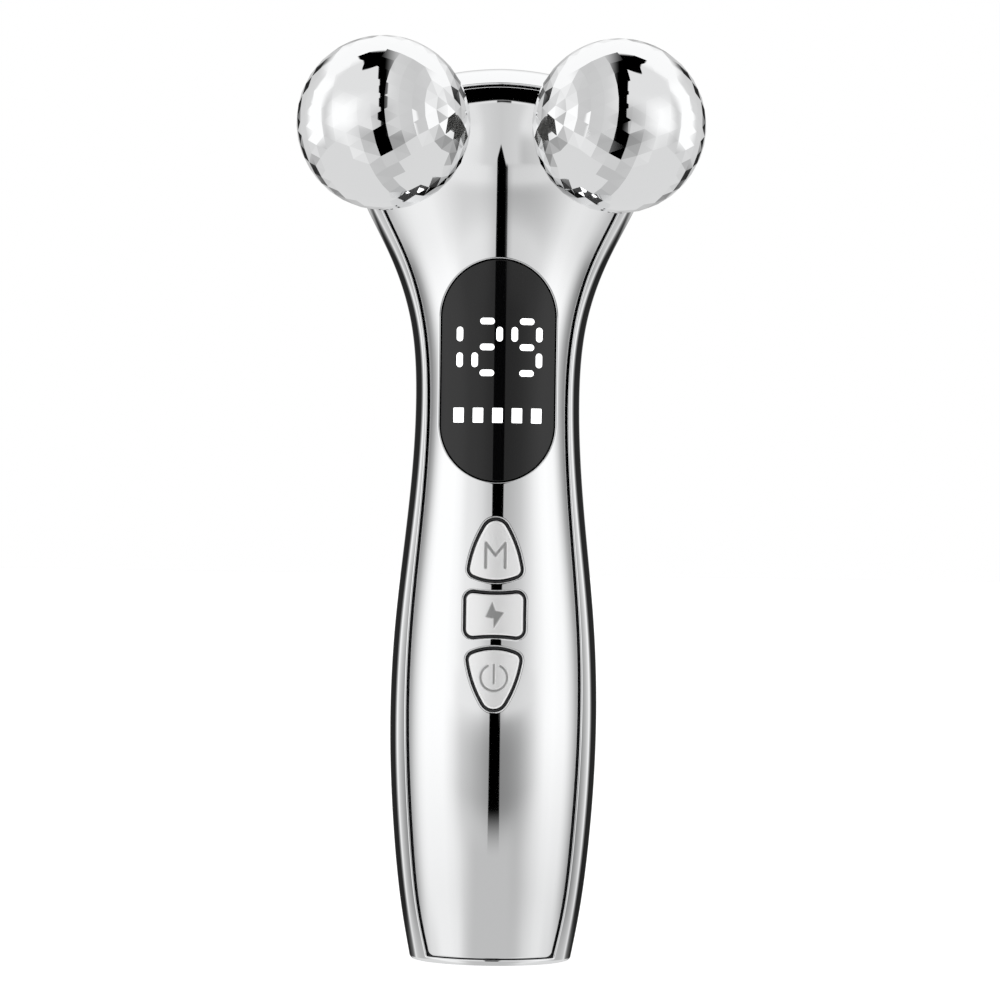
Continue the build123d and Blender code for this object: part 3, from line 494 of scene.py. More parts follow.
def spline(places, values, end_slope):
    """A function for the cubic splines through the values that start unbent and end at a given slope."""
    steps = np.diff(places)[:, None]
    slopes = np.diff(values, axis=0) / steps
    size = len(places)
    system = np.zeros((size, size))
    wanted = np.zeros_like(values)
    system[0, 0] = 1.0
    for i in range(1, size - 1):
        system[i, i - 1:i + 2] = steps[i - 1, 0], 2 * (steps[i - 1, 0] + steps[i, 0]), steps[i, 0]
        wanted[i] = 6 * (slopes[i] - slopes[i - 1])
    system[-1, -2:] = steps[-1, 0], 2 * steps[-1, 0]
    wanted[-1] = 6 * (end_slope - slopes[-1])
    bends = np.linalg.solve(system, wanted)

    def value_at(place):
        span = np.clip(np.searchsorted(places, place) - 1, 0, size - 2)
        step = (places[span + 1] - places[span])[..., None]
        after = (place - places[span])[..., None]
        before = step - after
        return (
            (bends[span] * before**3 + bends[span + 1] * after**3) / (6 * step)
            + (values[span] / step - bends[span] * step / 6) * before
            + (values[span + 1] / step - bends[span + 1] * step / 6) * after
        )

    return value_at


# height, half width, front depth, back depth and crown at a distance along the side's outline
stations_at = spline(knots, rows, POLE_SLOPE)

TABLE_STEPS = 20001
table_along = np.linspace(0, knots[-1], TABLE_STEPS)
table_rows = stations_at(table_along)


def along_at(z):
    """The distance along the side's outline at a height."""
    return np.interp(z, table_rows[:, 0], table_along)


def section_point(along, turn):
    """A point of the form. turn runs from 0 in front over 1 at the flank to 2 at the back."""
    z, half, front, back, crown = np.moveaxis(stations_at(along), -1, 0)
    in_front = turn <= 1
    t = np.where(in_front, turn, 2 - turn)
    reach = np.where(in_front, -front, back)
    x = 3 * (1 - t)**2 * t * crown + (3 * (1 - t) * t**2 + t**3) * half
    y = ((1 - t)**3 + 3 * (1 - t)**2 * t + 3 * (1 - t) * t**2 * SIDE_FULLNESS) * reach
    return np.stack([x, y, z], -1)


NUDGE = 1e-3
HALVINGS = 40


def unit(vectors):
    return vectors / np.linalg.norm(vectors, axis=-1, keepdims=True)


def form(along, turn):
    """Points and outward normals of the form. A negative turn is the left side."""
    along, turn = np.broadcast_arrays(np.asarray(along, float), np.asarray(turn, float))
    side = np.where(turn < 0, -1.0, 1.0)
    turn = np.clip(np.abs(turn), 0.0, 2.0)
    point = section_point(along, turn)
    low_turn, high_turn = np.clip(turn - NUDGE, 0, 2), np.clip(turn + NUDGE, 0, 2)
    inner = np.minimum(along, knots[-1] - 2 * NUDGE)
    low, high = np.maximum(inner - NUDGE, 0), inner + NUDGE
    around = section_point(inner, high_turn) - section_point(inner, low_turn)
    upward = section_point(high, turn) - section_point(low, turn)
    normal = unit(np.cross(around, upward))
    point[..., 0] *= side
    normal[..., 0] *= side
    return point, normal


def turn_at(along, x):
    """Where on the front a section reaches out to x."""
    low = np.zeros(np.broadcast(along, x).shape)
    high = np.ones_like(low)
    for _ in range(HALVINGS):
        middle = (low + high) / 2
        short = section_point(along, middle)[..., 0] < np.abs(x)
        low, high = np.where(short, middle, low), np.where(short, high, middle)
    return np.where(x < 0, -1.0, 1.0) * (low + high) / 2


def front(spots):
    """Points and normals of the form's front at (x, z) spots."""
    along = along_at(spots[:, 1])
    return form(along, turn_at(along, spots[:, 0]))


def sunk(depth):
    """The form's front, drawn in by a depth."""

    def surface(spots):
        points, normals = front(spots)
        return points - depth * normals, normals

    return surface


print("Form:", len(knots), "stations, side outline", round(knots[-1], 1), "mm long")

# %% [markdown]
# ## Loops, plates and rims
# A cover is drawn flat first, as a closed loop with holes. The plate between them is filled with triangles
# on an even grid, then every point is lifted onto the form. Each loop gets a rim: the skin rolls over a small
# radius, goes down the wall's thickness and meets the same plate again on the inside. The rolled rim matters
# most, because it draws the fine bright line beside every gap.


# %% Helpers for flat loops
CHUNK = 3000  # points worked on at once
FEWEST = 8  # points that a loop has at least
BORDER_FREE = 0.5  # of the spacing, kept free of grid points along each loop
SAME_SPOT = 1e-7


def resample(loop, spacing):
    """The same closed loop with evenly spaced points."""
    closed = np.vstack([loop, loop[:1]])
    along = np.concatenate([[0.0], np.cumsum(np.hypot(*np.diff(closed, axis=0).T))])
    marks = np.linspace(0, along[-1], max(FEWEST, round(along[-1] / spacing)), endpoint=False)
    return np.stack([np.interp(marks, along, closed[:, k]) for k in (0, 1)], 1)


def outward(loop):
    """Directions square to a closed loop, out of it."""
    tangent = unit(np.roll(loop, -1, 0) - np.roll(loop, 1, 0))
    x, z = loop.T
    area = np.sum(x * np.roll(z, -1) - np.roll(x, -1) * z)
    return np.sign(area) * np.stack([tangent[:, 1], -tangent[:, 0]], 1)


def grow(loop, distance):
    return loop + outward(loop) * distance


def inside(points, loop):
    """Which points lie inside a closed loop, by the edges that a sideways ray crosses."""
    found = []
    x0, z0 = loop.T
    x1, z1 = np.roll(x0, -1), np.roll(z0, -1)
    rise = np.where(z1 == z0, 1.0, z1 - z0)
    for chunk in np.array_split(points, len(points) // CHUNK + 1):
        x, z = chunk[:, :1], chunk[:, 1:]
        crosses = ((z0 > z) != (z1 > z)) & (x < x0 + (z - z0) * (x1 - x0) / rise)
        found.append(crosses.sum(1) % 2 == 1)
    return np.concatenate(found)


def clearance(points, loop):
    """The distance from each point to the nearest point of a loop."""
    nearest = [
        np.sqrt(((chunk[:, None] - loop[None])**2).sum(2).min(1))
        for chunk in np.array_split(points, len(points) // CHUNK + 1)
    ]
    return np.concatenate(nearest)


def fill_plate(loops, spacing):
    """Flat triangles between the first loop and the others, which are holes in it."""
    low, high = loops[0].min(0), loops[0].max(0)
    counts = np.maximum(2, np.ceil((high - low) / spacing).astype(int))
    grid = np.stack(np.meshgrid(*(np.linspace(a, b, n + 1) for a, b, n in zip(low, high, counts))), -1)
    grid = grid.reshape(-1, 2)
    keep = inside(grid, loops[0])
    for i, loop in enumerate(loops):
        if i:
            keep &= ~inside(grid, loop)
        keep &= clearance(grid, loop) > BORDER_FREE * spacing
    spots = np.vstack([*loops, grid[keep]])
    edges = []
    first = 0
    for loop in loops:
        count = len(loop)
        edges += [(first + i, first + (i + 1) % count) for i in range(count)]
        first += count
    made = delaunay_2d_cdt([Vector(spot) for spot in spots], edges, [], 0, SAME_SPOT)
    spots = np.array([tuple(spot) for spot in made[0]])
    faces = np.array([face for face in made[2] if len(face) == 3])
    centres = spots[faces].mean(1)
    keep = inside(centres, loops[0])
    for loop in loops[1:]:
        keep &= ~inside(centres, loop)
    return spots, faces[keep]


# %% [markdown]
# ## Putting a skin together
# A skin collects points, normals and faces. Faces are turned to agree with their normals, double points are
# merged in edit mode, and the exact normals are set last, so that the chrome reflects without a wobble.

# %% Skins
WELD = 2e-6  # metres
ROLL_STEPS = 6


def link(name, mesh):
    """A new object for a mesh, the only one selected."""
    piece = bpy.data.objects.new(name, mesh)
    scene.collection.objects.link(piece)
    bpy.ops.object.select_all(action="DESELECT")
    bpy.context.view_layer.objects.active = piece
    piece.select_set(True)
    return piece


def merge_points():
    """Goes into edit mode and merges double points there."""
    bpy.ops.object.mode_set(mode="EDIT")
    bpy.ops.mesh.select_all(action="SELECT")
    bpy.ops.mesh.remove_doubles(threshold=WELD)


class Skin:
    """Points, normals and faces of one piece, in mm."""

    def __init__(self):
        self.points, self.normals, self.faces, self.count = [], [], [], 0

    def add(self, points, normals, faces):
        corners = points[faces]
        facing = np.cross(corners[:, 1] - corners[:, 0], corners[:, -1] - corners[:, 0])
        wrong = (facing * normals[faces].sum(1)).sum(1) < 0
        faces = np.where(wrong[:, None], faces[:, ::-1], faces) + self.count
        self.points.append(points)
        self.normals.append(normals)
        self.faces += faces.tolist()
        self.count += len(points)

    def strip(self, rings, closed=True):
        """Joins rings of (points, normals) one after the other."""
        points, normals = (np.concatenate(part) for part in zip(*rings))
        size = len(rings[0][0])
        steps = size if closed else size - 1
        ring, spot = np.meshgrid(np.arange(len(rings) - 1), np.arange(steps), indexing="ij")
        after = (spot + 1) % size
        quads = np.stack([ring * size + spot, ring * size + after,
                          (ring + 1) * size + after, (ring + 1) * size + spot], -1)
        self.add(points, normals, quads.reshape(-1, 4))

    def build(self, name, material, body, *nodes):
        """Makes the mesh object, merges it, sets its normals and lets it stand for its CAD nodes."""
        mesh = bpy.data.meshes.new(name)
        mesh.from_pydata((np.concatenate(self.points) * MM).tolist(), [], self.faces)
        exact = mesh.attributes.new("exact_normal", "FLOAT_VECTOR", "POINT")
        exact.data.foreach_set("vector", np.concatenate(self.normals).astype(np.float32).ravel())
        piece = link(name, mesh)
        merge_points()
        bpy.ops.mesh.select_all(action="SELECT")
        bpy.ops.mesh.dissolve_degenerate(threshold=WELD)
        bpy.ops.object.mode_set(mode="OBJECT")
        mesh.polygons.foreach_set("use_smooth", np.ones(len(mesh.polygons), bool))
        normals = np.zeros(len(mesh.vertices) * 3, np.float32)
        mesh.attributes["exact_normal"].data.foreach_get("vector", normals)
        mesh.attributes.remove(mesh.attributes["exact_normal"])
        mesh.normals_split_custom_set_from_vertices(normals.reshape(-1, 3))
        mesh.materials.append(materials[material])
        piece.select_set(False)
        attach(piece, body)
        if nodes:
            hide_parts(*nodes)
        open_edges = len(mesh.edges) * 2 - sum(len(p.vertices) for p in mesh.polygons)
        print(name, len(mesh.polygons), "faces,", open_edges, "open edges")
        return piece


def roll(points, normals, towards, radius):
    """Rings that roll the surface over, from its normal to the direction towards, with that radius."""
    angle = np.arccos(np.clip((normals * towards).sum(1, keepdims=True), -1, 1))
    rings = []
    for share in np.linspace(0, 1, ROLL_STEPS + 1):
        facing = (np.sin((1 - share) * angle) * normals + np.sin(share * angle) * towards) / np.sin(angle)
        rings.append((points + radius * (facing - normals), facing))
    return rings


def across_surface(flat, normals):
    """Directions of the flat drawing turned into the surface."""
    across = np.stack([flat[:, 0], np.zeros(len(flat)), flat[:, 1]], 1)
    return unit(across - normals * (across * normals).sum(1, keepdims=True))


def rim(points, normals, away, radius, wall):
    """Rings over a plate's edge, down the wall and onto the inside. away points off the plate."""
    rings = roll(points, normals, across_surface(away, normals), radius)
    edge_points, edge_normals = rings[-1]
    rings.append((edge_points - (wall - radius) * normals, edge_normals))
    rings.append((points - wall * normals, -normals))
    return rings


def shell(skin, outer, holes, spacing, radius, wall, lifted=front, plain=None):
    """A closed shell: the plate between loop and holes lifted onto the form, its rims and its inside.

    plain is the surface without its marks, which the inside runs along.
    """
    spots, faces = fill_plate([outer, *holes], spacing)
    points, normals = lifted(spots)
    skin.add(points, normals, faces)
    flat_normals = (plain or lifted)(spots)[1]
    skin.add(points - wall * flat_normals, -flat_normals, faces)
    skin.strip(rim(*lifted(outer), outward(outer), radius, wall))
    for hole in holes:
        skin.strip(rim(*lifted(hole), -outward(hole), radius, wall))


# %% [markdown]
# ## Outlines of the window, the buttons and the seam
# The window is a tall slot. The mode and power buttons are rounded arches, apex up and apex down, and the
# level button is a rounded rectangle with hollow ends. Their outlines are arcs that run into each other.

# %% Outlines
WINDOW_Z = 106.2
WINDOW_WIDTH = 20.6
WINDOW_HEIGHT = 39.5
FIT = 0.1
MODE_Z, LEVEL_Z, POWER_Z = 74.5, 62.8, 51.1
BUTTON_GAP = 0.58
OUTLINE_SPACING = 0.2
ARC_POINTS = 80


def arc(centre, radius, start, end):
    """Points of an arc between two directions, in radians."""
    angles = np.linspace(start, end, ARC_POINTS)
    return np.array(centre) + radius * np.stack([np.cos(angles), np.sin(angles)], 1)


def circle_through(a, b, c):
    """Centre and radius of the circle through three points."""
    a, b, c = (np.array(p, float) for p in (a, b, c))
    centre = np.linalg.solve(2 * np.array([b - a, c - b]), [b @ b - a @ a, c @ c - b @ b])
    return centre, np.hypot(*(a - centre))


def direction(start, end):
    return math.atan2(*(np.array(end) - np.array(start))[::-1])


def circles_meet(first, first_radius, second, second_radius):
    """The lower meeting point of two circles that lies to the right."""
    between = second - first
    distance = np.hypot(*between)
    share = (first_radius**2 - second_radius**2 + distance**2) / (2 * distance)
    reach = math.sqrt(first_radius**2 - share**2)
    across = np.array([-between[1], between[0]]) / distance * reach
    middle = first + between * share / distance
    return max((middle + across, middle - across), key=lambda spot: spot[0] - spot[1])


def mirrored(half):
    """A closed loop from its right half, which runs from the bottom middle to the top middle."""
    return np.vstack([half, (half * (-1, 1))[::-1]])


ARCH_HALF_WIDTH = 4.6
ARCH_CORNER_Z = -4.3
ARCH_BOTTOM = -5.45
ARCH_BULGE = (3.5, 0.4)
ARCH_PEAK = 6.5
APEX_ROUND = 2.1
CORNER_ROUND = 1.1
LEVEL_HALF_WIDTH, LEVEL_HALF_HEIGHT = 5.05, 4.0
LEVEL_HOLLOW = 0.45
LEVEL_ROUND = 1.2


def arch():
    """The arch, apex up, round its own middle."""
    corner = (ARCH_HALF_WIDTH, ARCH_CORNER_Z)
    side, side_radius = circle_through(corner, ARCH_BULGE, (0, ARCH_PEAK))
    base, base_radius = circle_through((-corner[0], corner[1]), (0, ARCH_BOTTOM), corner)
    low = circles_meet(base, base_radius - CORNER_ROUND, side, side_radius - CORNER_ROUND)
    apex = np.array([0, side[1] + math.sqrt((side_radius - APEX_ROUND)**2 - side[0]**2)])
    return mirrored(np.vstack([
        arc(base, base_radius, -math.pi / 2, direction(base, low)),
        arc(low, CORNER_ROUND, direction(base, low), direction(side, low)),
        arc(side, side_radius, direction(side, low), direction(side, apex)),
        arc(apex, APEX_ROUND, direction(side, apex), math.pi / 2),
    ]))


def hollow_box():
    """The level button's outline round its own middle."""
    corner = (LEVEL_HALF_WIDTH, -LEVEL_HALF_HEIGHT)
    base, base_radius = circle_through((-corner[0], corner[1]), (0, corner[1] + LEVEL_HOLLOW), corner)
    x = LEVEL_HALF_WIDTH - LEVEL_ROUND
    low = np.array([x, base[1] + math.sqrt((base_radius + LEVEL_ROUND)**2 - x**2)])
    quarter = np.vstack([
        arc(base, base_radius, math.pi / 2, direction(base, low)),
        arc(low, LEVEL_ROUND, direction(low, base), 0),
    ])
    return mirrored(np.vstack([quarter, (quarter * (1, -1))[::-1]]))


def slot(width, height):
    """The window's outline: straight sides and round ends."""
    radius = width / 2
    straight = height / 2 - radius
    return mirrored(np.vstack([
        arc((0, -straight), radius, -math.pi / 2, 0),
        arc((0, straight), radius, 0, math.pi / 2),
    ]))


outlines = {
    "mode": resample(arch(), OUTLINE_SPACING) + (0, MODE_Z),
    "level": resample(hollow_box(), OUTLINE_SPACING) + (0, LEVEL_Z),
    "power": resample(arch() * (1, -1), OUTLINE_SPACING) + (0, POWER_Z),
}
window_outline = resample(slot(WINDOW_WIDTH, WINDOW_HEIGHT), OUTLINE_SPACING) + (0, WINDOW_Z)

SEAM_INSETS = (3.45, 3.45, 3.45, 3.4, 3.15, 2.8, 2.5, 2.5, 2.85, 3.1, 3.3)  # at the form's stations
SEAM_TOP_INSET = 4.2
SEAM_BASE_Z = 1.3
SEAM_CORNER = 0.9
SEAM_POINTS = 300
GROOVE = 0.38

seam_heights = np.array([SEAM_BASE_Z, *(z for z, *_ in STATIONS[1:])])
seam_halves = np.array([[half - inset] for inset, (_, half, *_) in zip(SEAM_INSETS, STATIONS)])
seam_half = spline(seam_heights, seam_halves, 0.0)


def seam(inset):
    """The seam between the covers, seen from the front, drawn in by inset."""
    base = SEAM_BASE_Z + inset
    z = np.linspace(base + SEAM_CORNER, SHOULDER_Z, SEAM_POINTS)
    side = np.stack([seam_half(z)[:, 0] - inset, z], 1)
    corner = arc((side[0, 0] - SEAM_CORNER, base + SEAM_CORNER), SEAM_CORNER, -math.pi / 2, 0)
    dome_size = side[-1, 0], DOME_RISE - SEAM_TOP_INSET - inset
    dome = arc((0, 0), 1.0, 0, math.pi / 2) * dome_size + (0, SHOULDER_Z)
    return mirrored(np.vstack([(0, base), corner[:-1], side, dome[1:]]))


print("Outlines:", {name: len(loop) for name, loop in outlines.items()}, "window", len(window_outline))

# %% [markdown]
# ## Front cover
# The front cover is one shell with four openings. All its rims roll over the same radius.

# %% Front cover
WALL = 1.7
COVER_SPACING = 0.65
SEAM_SPACING = 0.3
RIM = 0.35
SEAM_RIM = 0.30

front_skin = Skin()
openings = [grow(loop, BUTTON_GAP + RIM) for loop in outlines.values()]
openings.append(grow(window_outline, FIT + RIM))
edge = resample(seam(RIM), SEAM_SPACING)
shell(front_skin, edge, openings, COVER_SPACING, RIM, WALL)
front_skin.build("front_shell", "chrome_shell", "root", "front_cover")

# %% [markdown]
# ## Rear cover
# The rear cover wraps round the sides, the back, the domed top and the base, and leaves an opening as
# large as the front cover and its groove. It is drawn on the unrolled form: across is the turn round the
# section, and up is the way along the side's outline. The base rolls under to a flat ring round the end cap.

# %% Rear cover
UNROLL = 22.0  # mm of the unrolled drawing for one turn unit
BASE_ROUND = 0.8
CAP_INSET = 3.4
CAP_EDGE = 0.15
FLOOR_THICK = 0.9
REAR_SPACING = 0.8
BASE_FREE = 0.02  # between the opening and the base's roll
ACROSS_STEPS = 240
UPWARD_POINTS = 220
SETTLING = 3  # rounds till the base's edge lies where its roll ends level

opening = resample(seam(-GROOVE - SEAM_RIM), SEAM_SPACING)
opening[:, 1] = np.maximum(opening[:, 1], BASE_ROUND + BASE_FREE)
opening_along = along_at(opening[:, 1])
opening_flat = np.stack([turn_at(opening_along, opening[:, 0]) * UNROLL, opening_along], 1)

across = np.linspace(-2, 2, ACROSS_STEPS + 1)
base_along = along_at(np.full(across.shape, BASE_ROUND))
for _ in range(SETTLING):
    _, base_normal = form(base_along, across)
    base_along = along_at(BASE_ROUND * (1 + base_normal[:, 2]))
upward = np.linspace(base_along[-1], knots[-1], UPWARD_POINTS)[1:]
sheet = np.vstack([
    np.stack([across * UNROLL, base_along], 1),
    np.stack([np.full(len(upward), 2 * UNROLL), upward], 1),
    np.stack([across[::-1][1:] * UNROLL, np.full(len(across) - 1, knots[-1])], 1),
    np.stack([np.full(len(upward) - 1, -2 * UNROLL), upward[::-1][1:]], 1),
])


def wrapped(spots):
    """Points and normals of the form at spots of the unrolled drawing."""
    return form(spots[:, 1], spots[:, 0] / UNROLL)


rear_skin = Skin()
spots, faces = fill_plate([sheet, opening_flat], REAR_SPACING)
points, normals = wrapped(spots)
rear_skin.add(points, normals, faces)
rear_skin.add(points - WALL * normals, -normals, faces)
rear_skin.strip(rim(*wrapped(opening_flat), -outward(opening), SEAM_RIM, WALL))

points, normals = form(base_along, across)
down = np.zeros_like(normals)
down[:, 2] = -1.0
rings = roll(points, normals, down, BASE_ROUND)
shrink = 1 - CAP_INSET / np.array(STATIONS[0][1:3])
pocket = section_point(np.zeros(len(across)), np.abs(across)) * (*shrink, 0)
pocket[:, 0] *= np.sign(across)
inward = -unit(pocket)
rings.append((pocket - CAP_EDGE * inward, down))
rings += roll(pocket - CAP_EDGE * inward, down, inward, CAP_EDGE)[1:]
rings.append((pocket + (0, 0, FLOOR_THICK), inward))
rings.append((points - WALL * normals, -normals))
rear_skin.strip(rings, closed=False)
rear_skin.build("rear_shell", "chrome_shell", "root", "rear_cover")

LIP_REACH = 1.5
LIP_DEPTH = 1.75
LIP_THICK = 0.8
LIP_RIM = 0.1
LIP_SPACING, LIP_EDGE_SPACING = 0.8, 0.5

lip_skin = Skin()
lip_loops = [resample(seam(reach), LIP_EDGE_SPACING) for reach in (-GROOVE - LIP_REACH / 2, LIP_REACH)]
shell(lip_skin, lip_loops[0], lip_loops[1:], LIP_SPACING, LIP_RIM, LIP_THICK, sunk(LIP_DEPTH))
lip_skin.build("rear_lip", "black_plastic", "root")

# %% [markdown]
# ## Display
# The lens is a gloss black slot set just below the chrome, with a hair of black round it. The lit segments
# are let into it: three numerals and a row of five bars.

# %% Display
LENS_SINK = 0.08
LENS_INSET = 0.08
LENS_RIM = 0.15
LENS_THICK = 1.1
LENS_SPACING = 0.6
LIT_SINK = 0.05
LIT_RIM = 0.02
LIT_THICK = 0.3
LIT_SPACING, LIT_EDGE_SPACING = 0.3, 0.12
DIGITS_SHIFT = -2.0
DIGITS_Z = 110.4
DIGIT_PITCH = 7.1
DIGIT_HALF_WIDTH = 2.2
DIGIT_ROW = 4.6
SEGMENT_LONG, SEGMENT_SHORT = 2.6, 1.15
BARS_Z = 98.25
BAR_PITCH = 3.48
BAR_WIDTH, BAR_HEIGHT = 1.86, 2.65
BAR_CORNER = 0.12
BAR_THINNING = 8  # so small a corner needs only each eighth point of an arc

# Which segments are lit: top, upper left, upper right, middle, lower left, lower right, bottom.
NUMERALS = {1: "0010010", 2: "1011101", 9: "1111011"}
SEGMENT_SPOTS = (
    (0, 2, False), (-1, 1, True), (1, 1, True), (0, 0, False), (-1, -1, True), (1, -1, True), (0, -2, False),
)


def bar():
    """A bar of the level display round its own middle."""
    x, z = BAR_WIDTH / 2 - BAR_CORNER, BAR_HEIGHT / 2 - BAR_CORNER
    return mirrored(np.vstack([
        (0, -BAR_HEIGHT / 2),
        arc((x, -z), BAR_CORNER, -math.pi / 2, 0)[::BAR_THINNING],
        arc((x, z), BAR_CORNER, 0, math.pi / 2)[::BAR_THINNING],
        (0, BAR_HEIGHT / 2),
    ]))


lens_skin = Skin()
lens_loop = grow(window_outline, -LENS_RIM - LENS_INSET)
shell(lens_skin, lens_loop, [], LENS_SPACING, LENS_RIM, LENS_THICK, sunk(LENS_SINK))
lens_skin.build("display_lens", "display_black", "root", "display_window")

lit_loops = []
for place, numeral in enumerate(NUMERALS):
    middle_x = (place - 1) * DIGIT_PITCH + DIGITS_SHIFT
    for on, (column, row, upright) in zip(NUMERALS[numeral], SEGMENT_SPOTS):
        if on == "1":
            loop = slot(SEGMENT_SHORT, SEGMENT_LONG)
            loop = loop if upright else loop[:, ::-1]
            lit_loops.append(loop + (middle_x + column * DIGIT_HALF_WIDTH, DIGITS_Z + row * DIGIT_ROW / 2))
for place in range(-2, 3):
    lit_loops.append(bar() + (place * BAR_PITCH, BARS_Z))
lit_skin = Skin()
for loop in lit_loops:
    loop = grow(resample(loop, LIT_EDGE_SPACING), -LIT_RIM)
    shell(lit_skin, loop, [], LIT_SPACING, LIT_RIM, LIT_THICK, sunk(LIT_SINK))
lit_skin.build("display_digits", "display_white", "root", "display_segments")

# %% [markdown]
# ## Button caps
# Each cap follows the housing's curve 0.45 mm proud of it, with a rolled edge. Its mark is engraved: a plain
# letter for the mode, a bolt for the level and the usual sign for power. The marks are shallow grooves in the
# surface itself, worked out from the distance to a few strokes.

# %% Marks
BUTTON_PROUD = 0.45
ENGRAVED = 0.30
CAP_RIM = 0.38
CAP_DEPTH = 2.6
CAP_SPACING = 0.14


def stroke_distance(spots, line):
    """The distance from spots to a line of straight strokes."""
    nearest = np.full(len(spots), np.inf)
    for start, end in zip(line[:-1], line[1:]):
        start, end = np.array(start, float), np.array(end, float)
        way = end - start
        share = np.clip(((spots - start) @ way) / (way @ way), 0, 1)
        nearest = np.minimum(nearest, np.hypot(*(spots - start - share[:, None] * way).T))
    return nearest


LETTER = ((-1.7, -3.3), (-1.7, 1.05), (0.0, -1.15), (1.7, 1.05), (1.7, -3.3))
LETTER_WIDTH = 0.50
BOLT = ((-0.45, 2.4), (-1.6, -0.35), (-0.25, -0.6), (-0.15, -2.4), (1.7, 0.45), (0.15, 0.75))
POWER_RING = (0.0, 0.57)
POWER_RADIUS = 2.33
POWER_OPEN = math.radians(27)
POWER_WIDTH = 0.36
POWER_BAR = ((0.0, 2.85), (0.0, -0.4))
SLOPE = 0.22  # how wide an engraved wall is


def letter_mark(spots):
    return LETTER_WIDTH / 2 - stroke_distance(spots, LETTER)


def bolt_mark(spots):
    loop = np.array(BOLT)
    distance = stroke_distance(spots, (*BOLT, BOLT[0]))
    return np.where(inside(spots, loop), distance, -distance)


def power_mark(spots):
    ring = arc(POWER_RING, POWER_RADIUS, math.pi / 2 + POWER_OPEN, 2.5 * math.pi - POWER_OPEN)
    distance = np.minimum(stroke_distance(spots, ring), stroke_distance(spots, POWER_BAR))
    return POWER_WIDTH / 2 - distance


# %% Caps
TILT_STEP = 0.02
SKIRT_Y = -9.2
SKIRT_OUT = 0.8
SKIRT_THICK = 0.8
SKIRT_RIM = 0.15
RING_SPACING = 1.0  # skirts and gaskets are plain
GASKET_DEPTH = 0.6
GASKET_THICK = 0.4
GASKET_OUT = BUTTON_GAP - 0.06
GASKET_IN = 0.22
GASKET_RIM = 0.06


def mark_depth(mark, centre_z, spots):
    """How far down a mark's groove each spot is, from 0 to 1."""
    return np.clip(mark(spots - (0, centre_z)) / SLOPE + 0.5, 0, 1)


def cap_surface(centre_z, mark):
    """The lifted surface of one cap, with its mark engraved."""

    def height(spots):
        depth = mark_depth(mark, centre_z, spots)
        return BUTTON_PROUD - ENGRAVED * depth * depth * (3 - 2 * depth)

    def surface(spots):
        points, normals = front(spots)
        slopes = [
            (height(spots + nudge) - height(spots - nudge)) / (2 * TILT_STEP)
            for nudge in ((TILT_STEP, 0), (0, TILT_STEP))
        ]
        tilt = np.insert(np.stack(slopes, 1), 1, 0.0, axis=1)
        return points + height(spots)[:, None] * normals, unit(normals - tilt)

    return surface


def skirt_face(spots):
    """The flat front face of the flange that keeps a cap in the housing."""
    points = np.insert(spots, 1, SKIRT_Y, axis=1)
    return points, np.tile((0.0, -1.0, 0.0), (len(points), 1))


for name, centre_z, mark in (
    ("mode", MODE_Z, letter_mark),
    ("level", LEVEL_Z, bolt_mark),
    ("power", POWER_Z, power_mark),
):
    cap = Skin()
    surface = cap_surface(centre_z, mark)
    shell(cap, grow(outlines[name], -CAP_RIM), [], CAP_SPACING, CAP_RIM, CAP_DEPTH, surface, front)
    piece = cap.build(f"cap_{name}", "button_chrome", f"button_{name}", f"button_{name}")
    # Each point keeps how deep in its mark's groove it lies, which the cap's material turns into painted shade.
    places = np.array([vertex.co for vertex in piece.data.vertices]) / MM
    depth = mark_depth(mark, centre_z, places[:, [0, 2]])
    engraved = piece.data.attributes.new("engraved", "FLOAT", "POINT")
    engraved.data.foreach_set("value", depth.astype(np.float32))
    skirt = Skin()
    skirt_loop = grow(outlines[name], SKIRT_OUT - SKIRT_RIM)
    shell(skirt, skirt_loop, [], RING_SPACING, SKIRT_RIM, SKIRT_THICK, skirt_face)
    skirt.build(f"skirt_{name}", "black_plastic", f"button_{name}")

# A soft black ring round each cap closes the gap to the cover and stays still when the cap is pressed.
gaskets = Skin()
for outline in outlines.values():
    outer, inner = grow(outline, GASKET_OUT - GASKET_RIM), grow(outline, GASKET_IN + GASKET_RIM)
    shell(gaskets, outer, [inner], RING_SPACING, GASKET_RIM, GASKET_THICK, sunk(GASKET_DEPTH))
gaskets.build("button_gaskets", "black_plastic", "root")

# %% [markdown]
# ## Smooth copies of turned pieces
# CAD meshes are loose flat triangles. That is right for the faceted balls, but the collars, axles, washers,
# bushes, socket and end cap are round, so a merged copy with smooth shading stands for each of them. The balls
# get merged copies too, with their facets shaded as if a little domed near the axle's tip.

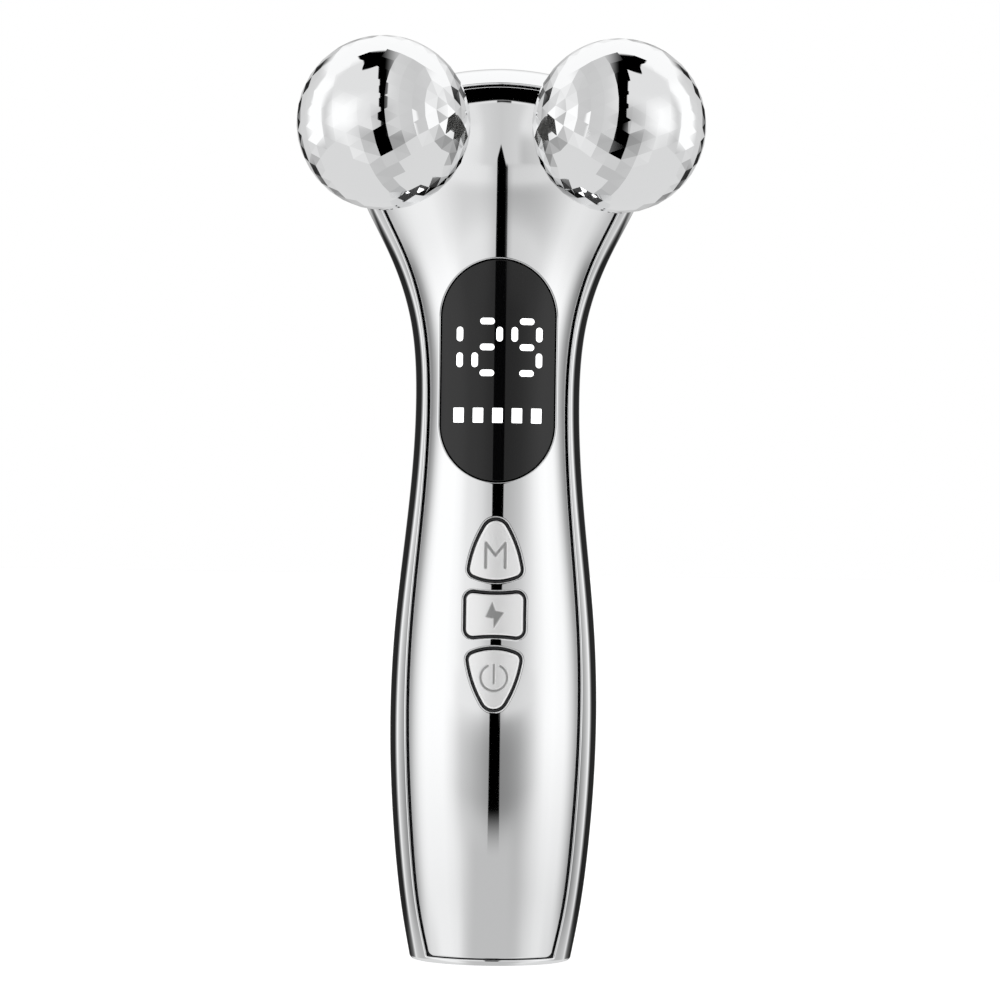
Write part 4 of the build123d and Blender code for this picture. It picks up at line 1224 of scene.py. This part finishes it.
# %% Smooth copies
SMOOTH_ANGLE = math.radians(32)
AXLE_WAY = unit(np.array([0.44, -0.85, 0.29]))
SOFTNESS = 0.75  # round the axle's tip, where the facets are polished most
SOFT_TILL, FLAT_FROM = math.cos(math.radians(24)), math.cos(math.radians(44))
FLAT = 0.9  # how square to the ball a face stands that belongs to its outside


def merged_copy(node, ending):
    """A copy of a CAD piece with its loose triangles joined. It is left active and selected."""
    piece = link(f"{node}_{ending}", frame["nodes"][node].data.copy())
    bpy.ops.mesh.customdata_custom_splitnormals_clear()
    merge_points()
    bpy.ops.object.mode_set(mode="OBJECT")
    return piece


def smooth_copy(node, body):
    """A merged, smooth-shaded copy of a CAD piece."""
    piece = merged_copy(node, "smooth")
    bpy.ops.object.shade_smooth_by_angle(angle=SMOOTH_ANGLE)
    piece.select_set(False)
    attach(piece, body)
    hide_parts(node)


def soften(node, mirror):
    """A merged copy of a roller with its facets shaded as if they were a little domed."""
    centre, way = ROLLER_CENTRE * mirror, AXLE_WAY * mirror
    piece = merged_copy(node, "polished")
    piece.select_set(False)
    mesh = piece.data
    mesh.polygons.foreach_set("use_smooth", np.ones(len(mesh.polygons), bool))
    normals = []
    for face in mesh.polygons:
        flat = np.array(face.normal)
        for corner in face.vertices:
            round_way = unit(np.array(mesh.vertices[corner].co) - centre)
            outside = flat @ round_way > FLAT
            share = np.clip((flat @ way - FLAT_FROM) / (SOFT_TILL - FLAT_FROM), 0, 1) * SOFTNESS * outside
            normals.append(unit((1 - share) * flat + share * round_way))
    mesh.normals_split_custom_set(np.array(normals).tolist())
    piece.visible_glossy = False
    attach(piece, node)
    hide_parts(node)
    print(piece.name, len(mesh.polygons), "facets")


for side in ("left", "right"):
    for node in ("axle_collar", "axle", "thrust_washer"):
        smooth_copy(f"{node}_{side}", "root")
    for node in ("roller_hub", "outer_bush", "inner_bush"):
        smooth_copy(f"{node}_{side}", f"roller_{side}")
    soften(f"roller_{side}", np.array([1 if side == "right" else -1, 1, 1]))
smooth_copy("end_cap", "root")
smooth_copy("usb_socket", "root")
print("Smooth copies made")
